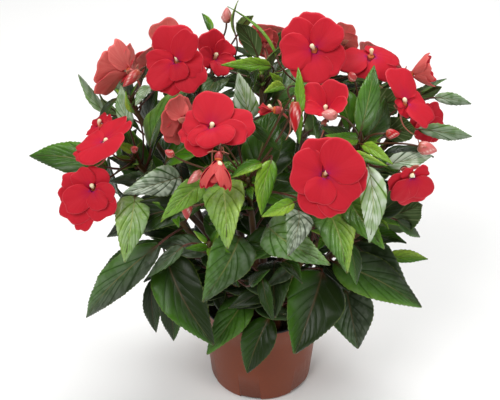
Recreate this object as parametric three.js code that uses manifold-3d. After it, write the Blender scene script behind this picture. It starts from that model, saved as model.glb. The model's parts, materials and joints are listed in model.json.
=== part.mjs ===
// A New Guinea impatiens in full flower, standing in its thin two-colour nursery pot.
// Millimetres, +Z up. The origin is the centre of the pot's underside, and the best side faces -Y.
import * as THREE from "three";
import Module from "manifold-3d";

const wasm = await Module();
wasm.setup();

const vec = (x, y, z) => new THREE.Vector3(x, y, z);
const point = ([x, y, z]) => vec(x, y, z);
const radians = THREE.MathUtils.degToRad;
const UP = vec(0, 0, 1);
const TURN = 2 * Math.PI;

// Pot: a 12 cm trade pot, 98 mm high, moulded thin, with drain notches through its foot ring.
const POT_HEIGHT = 98;
const POT_RIM_RADIUS = 60;
const POT_FOOT_RADIUS = 50.7;
const POT_WALL = 1.8;
const POT_CORNER = 4.5;
const POT_SIDES = 24;
const PAD_RADIUS = 24;
const CHANNEL_HEIGHT = 4.5;
const CHANNEL_INNER = 26;
const CHANNEL_OUTER = 41;
const FOOT_INNER = 42.5;
const DRAIN_HOLES = 6;
const DRAIN_HOLE_RADIUS = 4;
const DRAIN_HOLE_CIRCLE = 33.5;
const NOTCHES = 6;
const NOTCH_WIDTH = 21;
const NOTCH_TURN = -12;
const LIP_HEIGHT = 2.4;
const LIP_PROUD = 0.6;

// Soil: peat mix that fills the pot to a little below its rim.
const SOIL_GAP = 0.35;
const SOIL_LEVEL = 84;
const SOIL_MOUND = 4;
const SOIL_TOP_RADIUS = 56;
const SOIL_SIDES = 12;
const SOIL_RINGS = [16, 32, 46];
const SOIL_CRUMB = 1.1;
const HOLE_DEPTH = 14;
const HOLE_SIDES = 6;
const MEETING_GAP = 0.35;

// Leafy stems: thick at the soil, slim at the tip, each leaf on a short stalk.
const STEM_SIDES = 5;
const STEM_STEPS = 4;
const STEM_FOOT_RADIUS = 4.2;
const STEM_TIP_RADIUS = 1.9;
const PETIOLE_WIDTH = 2.4;
const PETIOLE_THICKNESS = 1.7;
const PEDICEL_RADIUS = 0.95;
const PEDICEL_SIDES = 3;
const PEDICEL_STEPS = 2;
const PEDICEL_NECK = 3;
const BLADE_THICKNESS = 0.85;
const BLADE_FOLD = 0.2;
const SHORT_PETIOLE = 18;
const LARGE_BLADE = { width: 34, stations: [0.14, 0.4, 0.76] };
const MIDDLE_BLADE = { width: 15, stations: [0.2, 0.62] };
const SMALL_BLADE = { width: 0, stations: [0.34] };

// Petals: broad lobes that lap over one another in layers, notched at the outer edge; the petals of a
// flower that is still half closed wrap narrower.
const PETAL_THICKNESS = 0.75;
const PETAL_LAYER = 1.7;
const PETAL_NOTCH = 0.07;
const PETAL_ROOT = 3;
const PETAL_EDGE = [0.84, 0.42];
const PETAL_TURN = radians(148);
const PETAL_WIDENESS = 0.0122;
const PETAL_CLOSING = 0.45;
// Nearly flat: the curl's formula divides by it.
const PETAL_CURL = -0.01;
const THROAT_RADIUS = 4.4;
const THROAT_SIDES = 4;
const THROAT_BACK = 5;
const THROAT_SIDE = [-1.2, 4.2];
const COLUMN_TOP = 8;
const BUD_SIDES = 6;

const LEAF_COLOUR = 0x4c7a2a;
const PETAL_COLOUR = 0xc42a34;
const BUD_COLOUR = 0xd0605e;
const POT_COLOUR = 0x7e4a38;
const SOIL_COLOUR = 0x2a211c;

// Each leafy stem: its place in the soil and the place of its tip whorl.
const STEMS = {
  front: { foot: [-4, -20], tip: [-13, -100, 300] },
  low_front_left: { foot: [-16, -36], tip: [-45, -112, 244] },
  low_front_right: { foot: [14, -38], tip: [52, -108, 252] },
  left_front: { foot: [-34, -20], tip: [-76, -90, 262] },
  right_front: { foot: [36, -22], tip: [98, -82, 250] },
  right: { foot: [22, -8], tip: [85, -52, 306] },
  left: { foot: [-24, -3], tip: [-112, -46, 286] },
  crown: { foot: [2, 2], tip: [-1, 4, 338] },
  far_left: { foot: [-38, 8], tip: [-120, 14, 312] },
  far_right: { foot: [40, 4], tip: [134, 20, 296] },
  top_left: { foot: [-14, 17], tip: [-60, 18, 322] },
  top_right: { foot: [18, 17], tip: [50, 24, 326] },
  back_left: { foot: [-27, 31], tip: [-82, 98, 276] },
  back: { foot: [0, 40], tip: [6, 112, 296] },
  back_right: { foot: [29, 31], tip: [94, 94, 282] },
};

// Leaves that show: stem, foot of the blade, tip of the blade, width, upward arch and roll in degrees.
const leaf = (stem, foot, tip, width, arch = 0.1, roll = 0) => ({ stem, foot, tip, width, arch, roll });
const LEAVES = [
  leaf("front", [-50, -106, 299], [-79, -145, 293], 20, 0.1, -25),
  leaf("front", [-33, -92, 291], [-29, -168, 284], 34),
  leaf("front", [6, -105, 321], [-2, -135, 289], 16),
  leaf("front", [23, -138, 303], [-2, -152, 300], 12),
  leaf("front", [-2, -108, 320], [-26, -128, 320], 11),
  leaf("front", [-15, -75, 339], [13, -92, 322], 11),
  leaf("low_front_left", [-20, -92, 236], [-48, -160, 224], 38, 0.1, -15),
  leaf("low_front_left", [-87, -62, 196], [-43, -120, 138], 44, 0.1, -10),
  leaf("low_front_left", [-66, -115, 243], [-96, -128, 221], 12, 0.1, -15),
  leaf("low_front_left", [-14, -45, 130], [-50, -98, 108], 31, 0.1, -15),
  leaf("low_front_left", [-1, -108, 204], [9, -128, 174], 12),
  leaf("low_front_left", [-11, -108, 196], [5, -112, 216], 10),
  leaf("low_front_right", [7, -62, 120], [-14, -88, 73], 32),
  leaf("low_front_right", [54, -62, 174], [29, -125, 133], 55),
  leaf("low_front_right", [53, -92, 261], [64, -165, 258], 32, 0.1, 25),
  leaf("low_front_right", [4, -86, 243], [50, -155, 257], 34, 0.1, 20),
  leaf("low_front_right", [28, -112, 276], [19, -168, 276], 23),
  leaf("low_front_right", [70, -118, 249], [78, -125, 210], 13, 0.1, 20),
  leaf("low_front_right", [11, -62, 185], [11, -122, 174], 32),
  leaf("low_front_right", [17, -101, 216], [32, -130, 217], 13),
  leaf("left_front", [-88, -92, 228], [-158, -95, 147], 30, 0.1, -40),
  leaf("left_front", [-90, -72, 214], [-148, -70, 174], 23, 0.1, -35),
  leaf("left_front", [-70, -65, 278], [-111, -112, 295], 26, 0.1, -50),
  leaf("left_front", [-52, -88, 266], [-137, -70, 219], 28, 0.1, -25),
  leaf("left_front", [-86, -80, 173], [-81, -88, 113], 20, 0.1, -35),
  leaf("left_front", [-99, -70, 171], [-98, -75, 112], 16, 0.1, -45),
  leaf("right_front", [80, -32, 130], [91, -72, 90], 44, 0.1, 35),
  leaf("right_front", [64, -60, 184], [141, -95, 160], 38, 0.1, 40),
  leaf("right_front", [82, -39, 191], [129, -75, 170], 40, 0.1, 45),
  leaf("right_front", [114, -35, 169], [155, -30, 164], 13, 0.1, 25),
  leaf("right_front", [98, -45, 215], [136, -78, 260], 38, 0.1, -50),
  leaf("right_front", [116, -62, 232], [140, -58, 210], 11, 0.1, 35),
  leaf("right", [82, -110, 318], [82, -154, 276], 22, 0.1, 20),
  leaf("right", [71, -93, 274], [94, -148, 267], 24, 0.1, 35),
  leaf("right", [80, -62, 321], [93, -20, 361], 20, 0.1, -30),
  leaf("right", [92, -2, 311], [117, -30, 335], 26, 0.1, -45),
  leaf("right", [102, -74, 296], [141, -64, 300], 16),
  leaf("right", [101, -15, 293], [129, -48, 316], 24, 0.1, -50),
  leaf("right", [80, -85, 323], [101, -112, 322], 10, 0.1, 35),
  leaf("right", [69, -92, 319], [97, -112, 320], 8, 0.1, 20),
  leaf("right", [77, -70, 319], [49, -95, 338], 11, 0.1, -15),
  leaf("left", [-134, -42, 273], [-204, -30, 278], 29, 0.1, -30),
  leaf("left", [-109, -67, 260], [-113, -130, 240], 29, 0.1, -35),
  leaf("left", [-113, -37, 308], [-122, -7, 335], 14, 0.1, 30),
  leaf("left", [-109, -33, 322], [-115, -34, 343], 8, 0.1, 30),
  leaf("left", [-110, -49, 294], [-125, -55, 308], 8, 0.1, -45),
  leaf("crown", [-11, -17, 308], [-21, -25, 355], 22, 0.1, 30),
  leaf("top_left", [-24, 45, 357], [-22, 62, 382], 7),
  leaf("top_right", [12, 15, 350], [-31, 68, 374], 6),
  leaf("top_left", [-22, 73, 344], [-8, 66, 366], 11, 0.1, -35),
  leaf("crown", [-4, 50, 333], [-23, 40, 372], 18, 0.1, 15),
  leaf("crown", [7, 0, 349], [-35, -18, 360], 12, 0.1, -40),
  leaf("crown", [18, -17, 339], [1, -35, 343], 10),
  leaf("crown", [16, -8, 336], [6, -15, 351], 8, 0.1, -30),
  leaf("far_left", [-139, 0, 304], [-162, 15, 333], 11),
  leaf("far_left", [-127, 0, 318], [-147, -10, 287], 9, 0.1, -25),
  leaf("far_left", [-95, -9, 334], [-107, -38, 333], 14, 0.1, -30),
  leaf("far_right", [143, 32, 306], [167, 42, 315], 7),
  leaf("far_right", [136, 42, 293], [161, 27, 315], 14, 0.1, -35),
  leaf("far_right", [153, 15, 310], [187, 17, 303], 12, 0.1, 45),
  leaf("right", [134, -26, 302], [186, -8, 284], 14, 0.1, 35),
  leaf("top_left", [-41, 17, 329], [-50, -38, 338], 24, 0.1, -50),
  leaf("top_left", [-45, 52, 356], [-54, 68, 367], 7),
  leaf("top_right", [28, -65, 336], [29, -34, 366], 10),
  leaf("top_right", [22, -45, 343], [29, -80, 321], 11),
];

// More leaves fill the bush by a seeded rule: of many draws, the one that hides most of what is bare.
const FILL_SEED = 7;
const FILL_LEAVES = 47;
const FILL_DRAWS = 200;
const FILL_CLEARANCE = 8;
const FILL_STALK_CLEARANCE = 5;
const FILL_LENGTH = [64, 98];
const FILL_WIDTH = 0.42;
const FILL_ARCH = 0.14;
const FILL_DROOP = -38;
const FILL_RISE = 60;
const FILL_SLOPE_SPREAD = 45;
const FILL_PETIOLE = 18;
const FILL_SHARE = [0.3, 0.97];
const FILL_STATIONS = [0.2, 0.6];
const FILL_CELL = 10;
const FILL_VIEWS = [
  { from: [0, -1, 0.7], worth: 4 },
  { from: [1, -0.2, 0.4], worth: 1 },
  { from: [-1, -0.2, 0.4], worth: 1 },
  { from: [0, 1, 0.4], worth: 1 },
];
const DOME = [146, 142, 92, 128];
const DOME_HEIGHT = 238;

// Petals of a bloom: angle as one looks at its face, reach, half spread in degrees, layer from the back,
// how far it is lifted out of the bloom's cone, and how far it curls along its length, in degrees.
const petal = (angle, reach, spread, layer, lift = 0, curl = PETAL_CURL) => (
  { angle, reach, spread, layer, lift, curl }
);
const even = (reach) => [
  petal(18, reach, 50, 1),
  petal(90, reach, 50, 0),
  petal(162, reach, 50, 1),
  petal(234, reach, 50, 0),
  petal(306, reach, 50, 2),
];

// Blooms: the stem, the throat, the way it faces, its petals and how far they close up in degrees.
const bloom = (stem, at, facing, petals, cup = 8) => ({ stem, at, facing, petals, cup });
const CROWN_LEFT_PETALS = [
  petal(103, 32, 49, 1),
  petal(60, 34, 30, 3, 20),
  petal(183, 28, 29, 2),
  petal(227, 32, 30, 3),
  petal(256, 30, 34, 0),
  petal(318, 31, 40, 1),
  petal(356, 24, 44, 2),
  petal(290, 18, 44, 4),
];
const CROWN_MIDDLE_PETALS = [
  petal(95, 27, 52, 0),
  petal(25, 22, 44, 1),
  petal(165, 22, 44, 1),
  petal(318, 20, 44, 2),
  petal(255, 22, 42, 2),
];
const FAR_LEFT_PETALS = [
  petal(12, 31, 56, 2),
  petal(78, 31, 36, 1, 0, 30),
  petal(150, 26, 46, 0),
  petal(222, 27, 44, 0),
  petal(305, 36, 44, 1),
];
const BEHIND_LEFT_PETALS = [
  petal(65, 26, 46, 1),
  petal(10, 18, 44, 0),
  petal(140, 14, 44, 0),
  petal(220, 16, 46, 1),
  petal(290, 18, 46, 0),
];
const CENTRE_PETALS = [
  petal(86, 31, 46, 2),
  petal(163, 24, 42, 1),
  petal(196, 28, 24, 0),
  petal(217, 23, 28, 3),
  petal(232, 27, 36, 0),
  petal(290, 22, 66, 4, 10, -40),
  petal(8, 35, 34, 1),
  petal(345, 31, 30, 2),
];
const LEFT_PETALS = [
  petal(152, 32, 36, 1),
  petal(246, 27, 42, 2),
  petal(288, 29, 42, 1),
  petal(88, 32, 28, 3, 0, 40),
  petal(5, 31, 60, 2, -10, -60),
];
const LOW_LEFT_PETALS = [
  petal(348, 21, 38, 3),
  petal(78, 20, 50, 1),
  petal(135, 22, 40, 2),
  petal(167, 28, 28, 1),
  petal(199, 32, 26, 0),
  petal(215, 29, 36, 4),
  petal(232, 36, 34, 1),
  petal(255, 40, 18, 0),
  petal(299, 20, 40, 4),
  petal(300, 28, 44, 2),
];
const HANGING_PETALS = [
  petal(140, 30, 44, 2, -4, 80),
  petal(40, 31, 44, 2, -4, 80),
  petal(90, 25, 44, 1, 0, 60),
  petal(215, 28, 46, 0, 0, 60),
  petal(325, 28, 46, 0, 0, 60),
];
const CROWN_RIGHT_PETALS = [
  petal(47, 31, 38, 3),
  petal(92, 33, 38, 0),
  petal(136, 32, 40, 1),
  petal(186, 31, 44, 2),
  petal(258, 30, 52, 1),
  petal(328, 29, 44, 0),
];
const BEHIND_RIGHT_PETALS = [
  petal(105, 19, 44, 1),
  petal(170, 16, 50, 0),
  petal(30, 15, 44, 0),
  petal(250, 15, 44, 1),
  petal(310, 15, 44, 0),
];
const SHOULDER_PETALS = [
  petal(20, 31, 44, 1, 0, -30),
  petal(90, 22, 50, 0),
  petal(160, 30, 44, 1, 0, -30),
  petal(228, 22, 44, 0, -10, -40),
  petal(300, 27, 44, 2, -10, -40),
];
const RIGHT_PETALS = [
  petal(60, 33, 50, 2),
  petal(272, 29, 46, 2),
  petal(336, 23, 46, 1),
  petal(8, 22, 40, 0),
  petal(150, 11, 40, 1, -15, -50),
  petal(215, 13, 44, 0, -15, -50),
];
const FAR_RIGHT_PETALS = [
  petal(20, 20, 46, 0),
  petal(90, 16, 44, 1),
  petal(162, 18, 44, 0),
  petal(235, 21, 46, 2),
  petal(300, 22, 48, 1),
];
const RIGHT_BEHIND_PETALS = [
  petal(18, 25, 50, 1, -8, 50),
  petal(90, 25, 50, 0, -8, 50),
  petal(162, 25, 50, 1, -8, 50),
  petal(234, 25, 50, 0, -8, 50),
  petal(306, 25, 50, 2, -8, 50),
];
const LOW_RIGHT_PETALS = [
  petal(15, 15, 44, 1),
  petal(140, 12, 44, 1),
  petal(197, 22, 36, 0),
  petal(240, 26, 40, 2),
  petal(275, 30, 40, 1),
  petal(306, 27, 34, 2),
];
const FRONT_PETALS = [
  petal(38, 33, 52, 4),
  petal(98, 31, 46, 1),
  petal(166, 28, 56, 2),
  petal(251, 25, 44, 3),
  petal(252, 34, 40, 0),
  petal(286, 34, 32, 1),
  petal(313, 33, 40, 2),
  petal(351, 34, 40, 0),
];
const HALF_OPEN_PETALS = [
  petal(168, 31, 48, 1),
  petal(75, 29, 56, 0),
  petal(0, 28, 46, 1),
  petal(232, 26, 44, 2),
  petal(300, 22, 40, 2),
];
const BLOOMS = {
  crown_left: bloom("top_left", [-71, -20, 364], [-0.15, -0.87, 0.48], CROWN_LEFT_PETALS),
  crown_middle: bloom("crown", [-43, 14, 348], [0.45, -0.65, 0.6], CROWN_MIDDLE_PETALS, 26),
  far_left: bloom("far_left", [-114, 0, 344], [-0.8, 0.55, 0.1], FAR_LEFT_PETALS, 30),
  behind_left: bloom("top_left", [-80, 36, 351], [-0.2, 0.98, 0.07], BEHIND_LEFT_PETALS),
  centre: bloom("front", [-41, -98, 344], [0, -0.61, 0.79], CENTRE_PETALS),
  centre_behind: bloom("top_left", [-65, -69, 336], [-0.8, 0.54, -0.24], even(22), 10),
  left: bloom("left", [-130, -62, 308], [-0.45, 0, 0.87], LEFT_PETALS),
  left_behind: bloom("left", [-139, -25, 303], [-0.58, -0.15, 0.8], even(14)),
  low_left: bloom("left", [-139, -88, 283], [-0.12, -0.91, 0.4], LOW_LEFT_PETALS, 9),
  hanging: bloom("front", [-35, -128, 338], [-0.1, -0.75, -0.65], HANGING_PETALS, 66),
  crown_right: bloom("crown", [42, -14, 371], [0.05, -0.79, 0.61], CROWN_RIGHT_PETALS),
  behind_right: bloom("top_right", [70, 42, 352], [0.5, 0.84, 0.2], BEHIND_RIGHT_PETALS),
  shoulder: bloom("top_right", [93, 10, 352], [0.08, -0.2, 1], SHOULDER_PETALS, -20),
  right: bloom("right", [117, -38, 333], [0.58, -0.3, 0.75], RIGHT_PETALS),
  far_right: bloom("far_right", [143, 0, 296], [0.45, -0.8, 0.35], FAR_RIGHT_PETALS),
  right_behind: bloom("far_right", [131, 23, 329], [0.95, -0.05, 0.25], RIGHT_BEHIND_PETALS, 60),
  low_right: bloom("right_front", [119, -94, 301], [0.3, -0.95, -0.1], LOW_RIGHT_PETALS),
  front: bloom("low_front_right", [46, -130, 323], [0.05, -0.82, 0.57], FRONT_PETALS),
  half_open: bloom("top_right", [52, -52, 332], [-0.2, -0.35, 0.9], HALF_OPEN_PETALS, 38),
  opening: bloom("front", [10, -80, 352], [-0.98, -0.16, 0.11], even(14), 65),
  top_back: bloom("crown", [1, 61, 339], [-0.3, 0.9, 0.2], even(17)),
  back_left: bloom("back_left", [-108, 102, 296], [-0.6, 0.65, 0.45], even(27)),
  back_right: bloom("back_right", [112, 96, 300], [0.6, 0.62, 0.5], even(28)),
  back_middle: bloom("back", [6, 138, 300], [0.05, 0.9, 0.42], even(29)),
};

// Buds: the stem, the calyx, the way the bud points, its length and its greatest width.
const bud = (stem, at, facing, length, width) => ({ stem, at, facing, length, width });
const BUDS = {
  front_pale: bud("front", [-49, -114, 316], [-0.75, -0.35, -0.55], 15, 7),
  front_dark: bud("front", [-62, -112, 287], [0, -0.2, -1], 17, 9),
  front_low: bud("front", [24, -92, 366], [0, -0.8, -1], 24, 9),
  left_small: bud("front", [-72, -100, 322], [-0.6, -0.2, 0.6], 9, 6),
  peak_pale: bud("top_left", [-32, 60, 362], [0.05, 0.1, 1], 14, 9),
  right_pale: bud("right", [56, -92, 354], [-0.8, -0.3, 0.3], 13, 9),
  right_dark: bud("right", [99, -78, 329], [0.9, -0.2, 0.1], 11, 8),
  right_pointing: bud("right", [126, -78, 317], [0.9, -0.1, -0.2], 16, 11),
  right_high: bud("right", [74, -40, 358], [-0.3, -0.4, 0.7], 11, 7),
  left_red: bud("far_left", [-104, -14, 352], [-0.7, -0.2, -0.6], 20, 9),
  left_whorl: bud("left", [-108, -60, 302], [0.2, -0.6, 0.6], 8, 6),
};

// Makes a solid of points and triangles, for joining and cutting.
function solidFrom(points, triangles) {
  const vertProperties = new Float32Array(points.flatMap((p) => [p.x, p.y, p.z]));
  const triVerts = new Uint32Array(triangles.flat());
  return new wasm.Manifold(new wasm.Mesh({ numProp: 3, vertProperties, triVerts }));
}

// Merges the corners that a three.js shape keeps apart for its normals, and makes a solid of it.
function solidFromGeometry(geometry) {
  const place = geometry.getAttribute("position");
  const index = geometry.getIndex();
  const seen = new Map();
  const points = [];
  const corner = (i) => {
    const p = vec(place.getX(i), place.getY(i), place.getZ(i));
    const key = [p.x, p.y, p.z].map((v) => Math.round(v * 1e4)).join();
    if (!seen.has(key)) {
      seen.set(key, points.length);
      points.push(p);
    }
    return seen.get(key);
  };
  const triangles = [];
  for (let i = 0; i < index.count; i += 3) {
    const [a, b, c] = [i, i + 1, i + 2].map((k) => corner(index.getX(k)));
    if (a !== b && b !== c && c !== a) triangles.push([a, b, c]);
  }
  return solidFrom(points, triangles);
}

const joined = (solids) => wasm.Manifold.union(solids);

// Keeps the one body that holds together and drops any crumb a join leaves.
function largestBody(solid) {
  const bodies = solid.decompose();
  bodies.sort((a, b) => b.volume() - a.volume());
  return bodies[0];
}

function meshOf(name, solid, colour, roughness) {
  const { vertProperties, triVerts } = solid.getMesh();
  const geometry = new THREE.BufferGeometry();
  geometry.setAttribute("position", new THREE.BufferAttribute(vertProperties, 3));
  geometry.setIndex(new THREE.BufferAttribute(triVerts, 1));
  geometry.computeVertexNormals();
  const material = new THREE.MeshStandardMaterial({ color: colour, roughness, metalness: 0 });
  const mesh = new THREE.Mesh(geometry, material);
  mesh.name = name;
  return mesh;
}

// A closed round stalk through a list of points, with a radius for each.
function stalk(points, radii, sides) {
  const count = points.length;
  const corners = [];
  const triangles = [];
  let across = null;
  points.forEach((p, i) => {
    const along = points[Math.min(i + 1, count - 1)].clone().sub(points[Math.max(i - 1, 0)]).normalize();
    if (!across) across = Math.abs(along.z) > 0.8 ? vec(1, 0, 0) : UP.clone();
    across.addScaledVector(along, -across.dot(along)).normalize();
    const other = along.clone().cross(across);
    for (let k = 0; k < sides; k += 1) {
      const angle = (TURN * k) / sides;
      const corner = p.clone().addScaledVector(across, radii[i] * Math.cos(angle));
      corners.push(corner.addScaledVector(other, radii[i] * Math.sin(angle)));
    }
  });
  for (let i = 0; i < count - 1; i += 1) {
    for (let k = 0; k < sides; k += 1) {
      const a = i * sides + k;
      const b = i * sides + ((k + 1) % sides);
      triangles.push([a, b, b + sides], [a, b + sides, a + sides]);
    }
  }
  const last = (count - 1) * sides;
  for (let k = 1; k < sides - 1; k += 1) triangles.push([0, k + 1, k], [last, last + k, last + k + 1]);
  return solidFrom(corners, triangles);
}

// A thin solid sheet from rows of points: the same triangles above and below, and a band round the edge.
function sheet(rows, thicknesses) {
  const points = rows.flat();
  const half = rows.flatMap((row, i) => row.map(() => thicknesses[i] / 2));
  const triangles = [];
  let first = 0;
  for (let r = 0; r < rows.length - 1; r += 1) {
    const [m, n] = [rows[r].length, rows[r + 1].length];
    const next = first + m;
    let i = 0;
    let j = 0;
    while (i < m - 1 || j < n - 1) {
      const ownShare = i < m - 1 ? (i + 1) / (m - 1) : Infinity;
      const nextShare = j < n - 1 ? (j + 1) / (n - 1) : Infinity;
      if (nextShare <= ownShare) {
        triangles.push([first + i, next + j, next + j + 1]);
        j += 1;
      } else {
        triangles.push([first + i, next + j, first + i + 1]);
        i += 1;
      }
    }
    first = next;
  }
  const normals = points.map(() => vec(0, 0, 0));
  const edges = new Map();
  for (const [a, b, c] of triangles) {
    const face = points[b].clone().sub(points[a]).cross(points[c].clone().sub(points[a]));
    for (const i of [a, b, c]) normals[i].add(face);
    for (const [i, j] of [[a, b], [b, c], [c, a]]) edges.set(`${i},${j}`, [i, j]);
  }
  const moved = (way) => points.map((p, i) => {
    const normal = normals[i].clone().normalize();
    return p.clone().addScaledVector(normal, way * half[i]);
  });
  const n = points.length;
  const all = [...triangles, ...triangles.map(([a, b, c]) => [a + n, c + n, b + n])];
  for (const [i, j] of edges.values()) {
    if (!edges.has(`${j},${i}`)) all.push([i, i + n, j + n], [i, j + n, j]);
  }
  return solidFrom([...moved(1), ...moved(-1)], all);
}

// The stem's own line: straight up out of the soil, then leaning out to its tip.
function stemCurve({ foot, tip }) {
  const start = vec(foot[0], foot[1], SOIL_LEVEL);
  const end = point(tip);
  const rise = end.clone().sub(start);
  const low = start.clone().add(vec(rise.x * 0.04, rise.y * 0.04, rise.z * 0.42));
  const high = start.clone().add(vec(rise.x * 0.62, rise.y * 0.62, rise.z * 0.7));
  return new THREE.CubicBezierCurve3(start, low, high, end);
}

function stemSolid(curve) {
  const foot = curve.getPoint(0).setZ(SOIL_LEVEL - HOLE_DEPTH + MEETING_GAP);
  const mouth = curve.getPoint(0).setZ(SOIL_LEVEL + SOIL_MOUND);
  const points = [foot, mouth];
  const radii = [STEM_FOOT_RADIUS, STEM_FOOT_RADIUS];
  for (let i = 1; i <= STEM_STEPS; i += 1) {
    const t = i / STEM_STEPS;
    points.push(curve.getPoint(t));
    radii.push(THREE.MathUtils.lerp(STEM_FOOT_RADIUS, STEM_TIP_RADIUS, t));
  }
  return stalk(points, radii, STEM_SIDES);
}

// The share along a stem of its nearest point to a target, no lower than a given share.
function nearestShare(curve, target, lowest) {
  const tries = 40;
  let best = lowest;
  let least = Infinity;
  for (let i = 0; i <= tries; i += 1) {
    const t = lowest + ((0.98 - lowest) * i) / tries;
    const gap = curve.getPoint(t).distanceTo(target);
    if (gap < least) {
      least = gap;
      best = t;
    }
  }
  return best;
}

// Half the blade's width at a share of its length: egg-shaped, drawn out to a fine point.
const bladeOutline = (q) => Math.sin(Math.PI * q ** 0.7) ** 0.8 * (1 - 0.25 * q ** 3);

// The blade's own frame: its midrib, its side direction and its upper side.
function bladeFrame({ foot, tip, arch, roll }) {
  const start = point(foot);
  const chord = point(tip).sub(start);
  const length = chord.length();
  const along = chord.clone().normalize();
  const middle = start.clone().addScaledVector(chord, 0.5);
  const outward = vec(middle.x, middle.y, 0).normalize();
  const lift = UP.clone().multiplyScalar(0.6).addScaledVector(outward, 0.5);
  const above = lift.addScaledVector(along, -lift.dot(along)).normalize();
  above.applyAxisAngle(along, radians(roll));
  const side = above.clone().cross(along);
  const midrib = (q) => {
    const bow = arch * length * Math.sin(Math.PI * q ** 0.8);
    return start.clone().addScaledVector(chord, q).addScaledVector(above, bow);
  };
  return { midrib, side, above };
}

// A point of the blade at share q of its length and v across it, from -1 to 1.
function bladePoint(frame, width, q, v) {
  const half = (width / 2) * bladeOutline(q);
  const place = frame.midrib(q).addScaledVector(frame.side, v * half);
  return place.addScaledVector(frame.above, Math.abs(v) * half * BLADE_FOLD);
}

// The leaf's stalk, from the middle of the stem to the foot of the blade.
function petioleCurve(row, curve) {
  const frame = bladeFrame(row);
  const foot = frame.midrib(0);
  const near = curve.getPoint(Math.max(0.12, nearestShare(curve, foot, 0.15) - 0.05));
  const lead = frame.midrib(0.1).sub(foot).normalize();
  const bend = foot.clone().addScaledVector(lead, -0.4 * near.distanceTo(foot));
  return new THREE.QuadraticBezierCurve3(near, bend, foot);
}

// Stalk and blade in one sheet, from inside the stem to the drip tip.
function leafSolid(row, curve) {
  const frame = bladeFrame(row);
  const petiole = petioleCurve(row, curve);
  const short = row.inner || petiole.getLength() < SHORT_PETIOLE;
  const rows = (short ? [0] : [0, 0.6]).map((t) => {
    const centre = petiole.getPoint(t);
    const side = frame.above.clone().cross(petiole.getTangent(t)).normalize();
    return [-0.5, 0.5].map((v) => centre.clone().addScaledVector(side, v * PETIOLE_WIDTH));
  });
  const thicknesses = rows.map(() => PETIOLE_THICKNESS);
  const { stations } = [LARGE_BLADE, MIDDLE_BLADE, SMALL_BLADE].find(({ width }) => row.width >= width);
  for (const q of row.inner ? FILL_STATIONS : stations) {
    rows.push([-1, 0, 1].map((v) => bladePoint(frame, row.width, q, v)));
    thicknesses.push(BLADE_THICKNESS);
  }
  rows.push([frame.midrib(1)]);
  thicknesses.push(BLADE_THICKNESS);
  return sheet(rows, thicknesses);
}

// A flower stalk's line, from high on the stem to just behind the throat or calyx.
function pedicelPoints({ at, facing }, back, curve, steps) {
  const axis = point(facing).normalize();
  const end = point(at).addScaledVector(axis, -back - MEETING_GAP);
  const neck = end.clone().addScaledVector(axis, -PEDICEL_NECK);
  const start = curve.getPoint(nearestShare(curve, end, 0.72));
  const bend = neck.clone().addScaledVector(axis, -Math.min(12, start.distanceTo(neck) * 0.35));
  return [...new THREE.QuadraticBezierCurve3(start, bend, neck).getPoints(steps), end];
}

function pedicelSolid(row, back, curve) {
  const points = pedicelPoints(row, back, curve, PEDICEL_STEPS);
  return stalk(points, points.map(() => PEDICEL_RADIUS), PEDICEL_SIDES);
}

// The flower's own frame: x to its right and y to its top as one looks at its face, z out of it.
function faceFrame({ at, facing }) {
  const z = point(facing).normalize();
  const x = UP.clone().cross(z).normalize();
  const y = z.clone().cross(x);
  return new THREE.Matrix4().makeBasis(x, y, z).setPosition(point(at));
}

// The petal's edge drawn flat, as [forward, sideways], at a share v from its middle (0) to a side (-1, 1).
function petalEdge({ reach, spread }, v) {
  const turn = PETAL_TURN * v;
  const notch = 1 - PETAL_NOTCH * Math.exp(-((v / 0.1) ** 2));
  const sideways = reach * spread * PETAL_WIDENESS * Math.sign(v) * Math.abs(Math.sin(turn)) ** 0.85;
  return [reach * (0.53 + 0.47 * Math.cos(turn)) * notch, sideways];
}

// One petal in the flower's frame: curled lengthwise, then laid on the bloom's cone and raised to its layer.
function petalSolid(row, cup) {
  const [rise, flat] = [Math.sin(radians(cup)), Math.cos(radians(cup))];
  const start = radians(row.lift - row.curl / 2);
  const rate = radians(row.curl) / row.reach;
  const laid = ([forward, sideways]) => {
    const curled = (Math.sin(start + rate * forward) - Math.sin(start)) / rate;
    const raised = (Math.cos(start) - Math.cos(start + rate * forward)) / rate + row.layer * PETAL_LAYER;
    const slim = sideways * (1 - PETAL_CLOSING * rise);
    const out = Math.hypot(curled, slim);
    const bearing = radians(row.angle) + Math.atan2(slim, curled);
    const radius = out * flat - raised * rise;
    return vec(radius * Math.cos(bearing), radius * Math.sin(bearing), out * rise + raised * flat);
  };
  const pairs = PETAL_EDGE.map((v) => [laid(petalEdge(row, -v)), laid(petalEdge(row, v))]);
  const rows = [[laid([PETAL_ROOT, 0])], ...pairs, [laid(petalEdge(row, 0))]];
  return sheet(rows, rows.map(() => PETAL_THICKNESS));
}

function throatSolid() {
  const [low, high] = THROAT_SIDE;
  const profile = [[0, -THROAT_BACK], [THROAT_RADIUS, low], [THROAT_RADIUS, high], [0, COLUMN_TOP]];
  const turned = new THREE.LatheGeometry(profile.map(([r, z]) => new THREE.Vector2(r, z)), THROAT_SIDES);
  turned.rotateX(Math.PI / 2);
  return solidFromGeometry(turned);
}

function bloomSolid(row) {
  const parts = [throatSolid(), ...row.petals.map((each) => petalSolid(each, row.cup))];
  return largestBody(joined(parts).transform([...faceFrame(row).elements]));
}

function budSolid(row) {
  const { length, width } = row;
  const profile = [[0, 0], [width * 0.28, 0], [width * 0.5, length * 0.4], [0, length]];
  const turned = new THREE.LatheGeometry(profile.map(([r, z]) => new THREE.Vector2(r, z)), BUD_SIDES);
  turned.rotateX(Math.PI / 2);
  return solidFromGeometry(turned).transform([...faceFrame(row).elements]);
}

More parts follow.
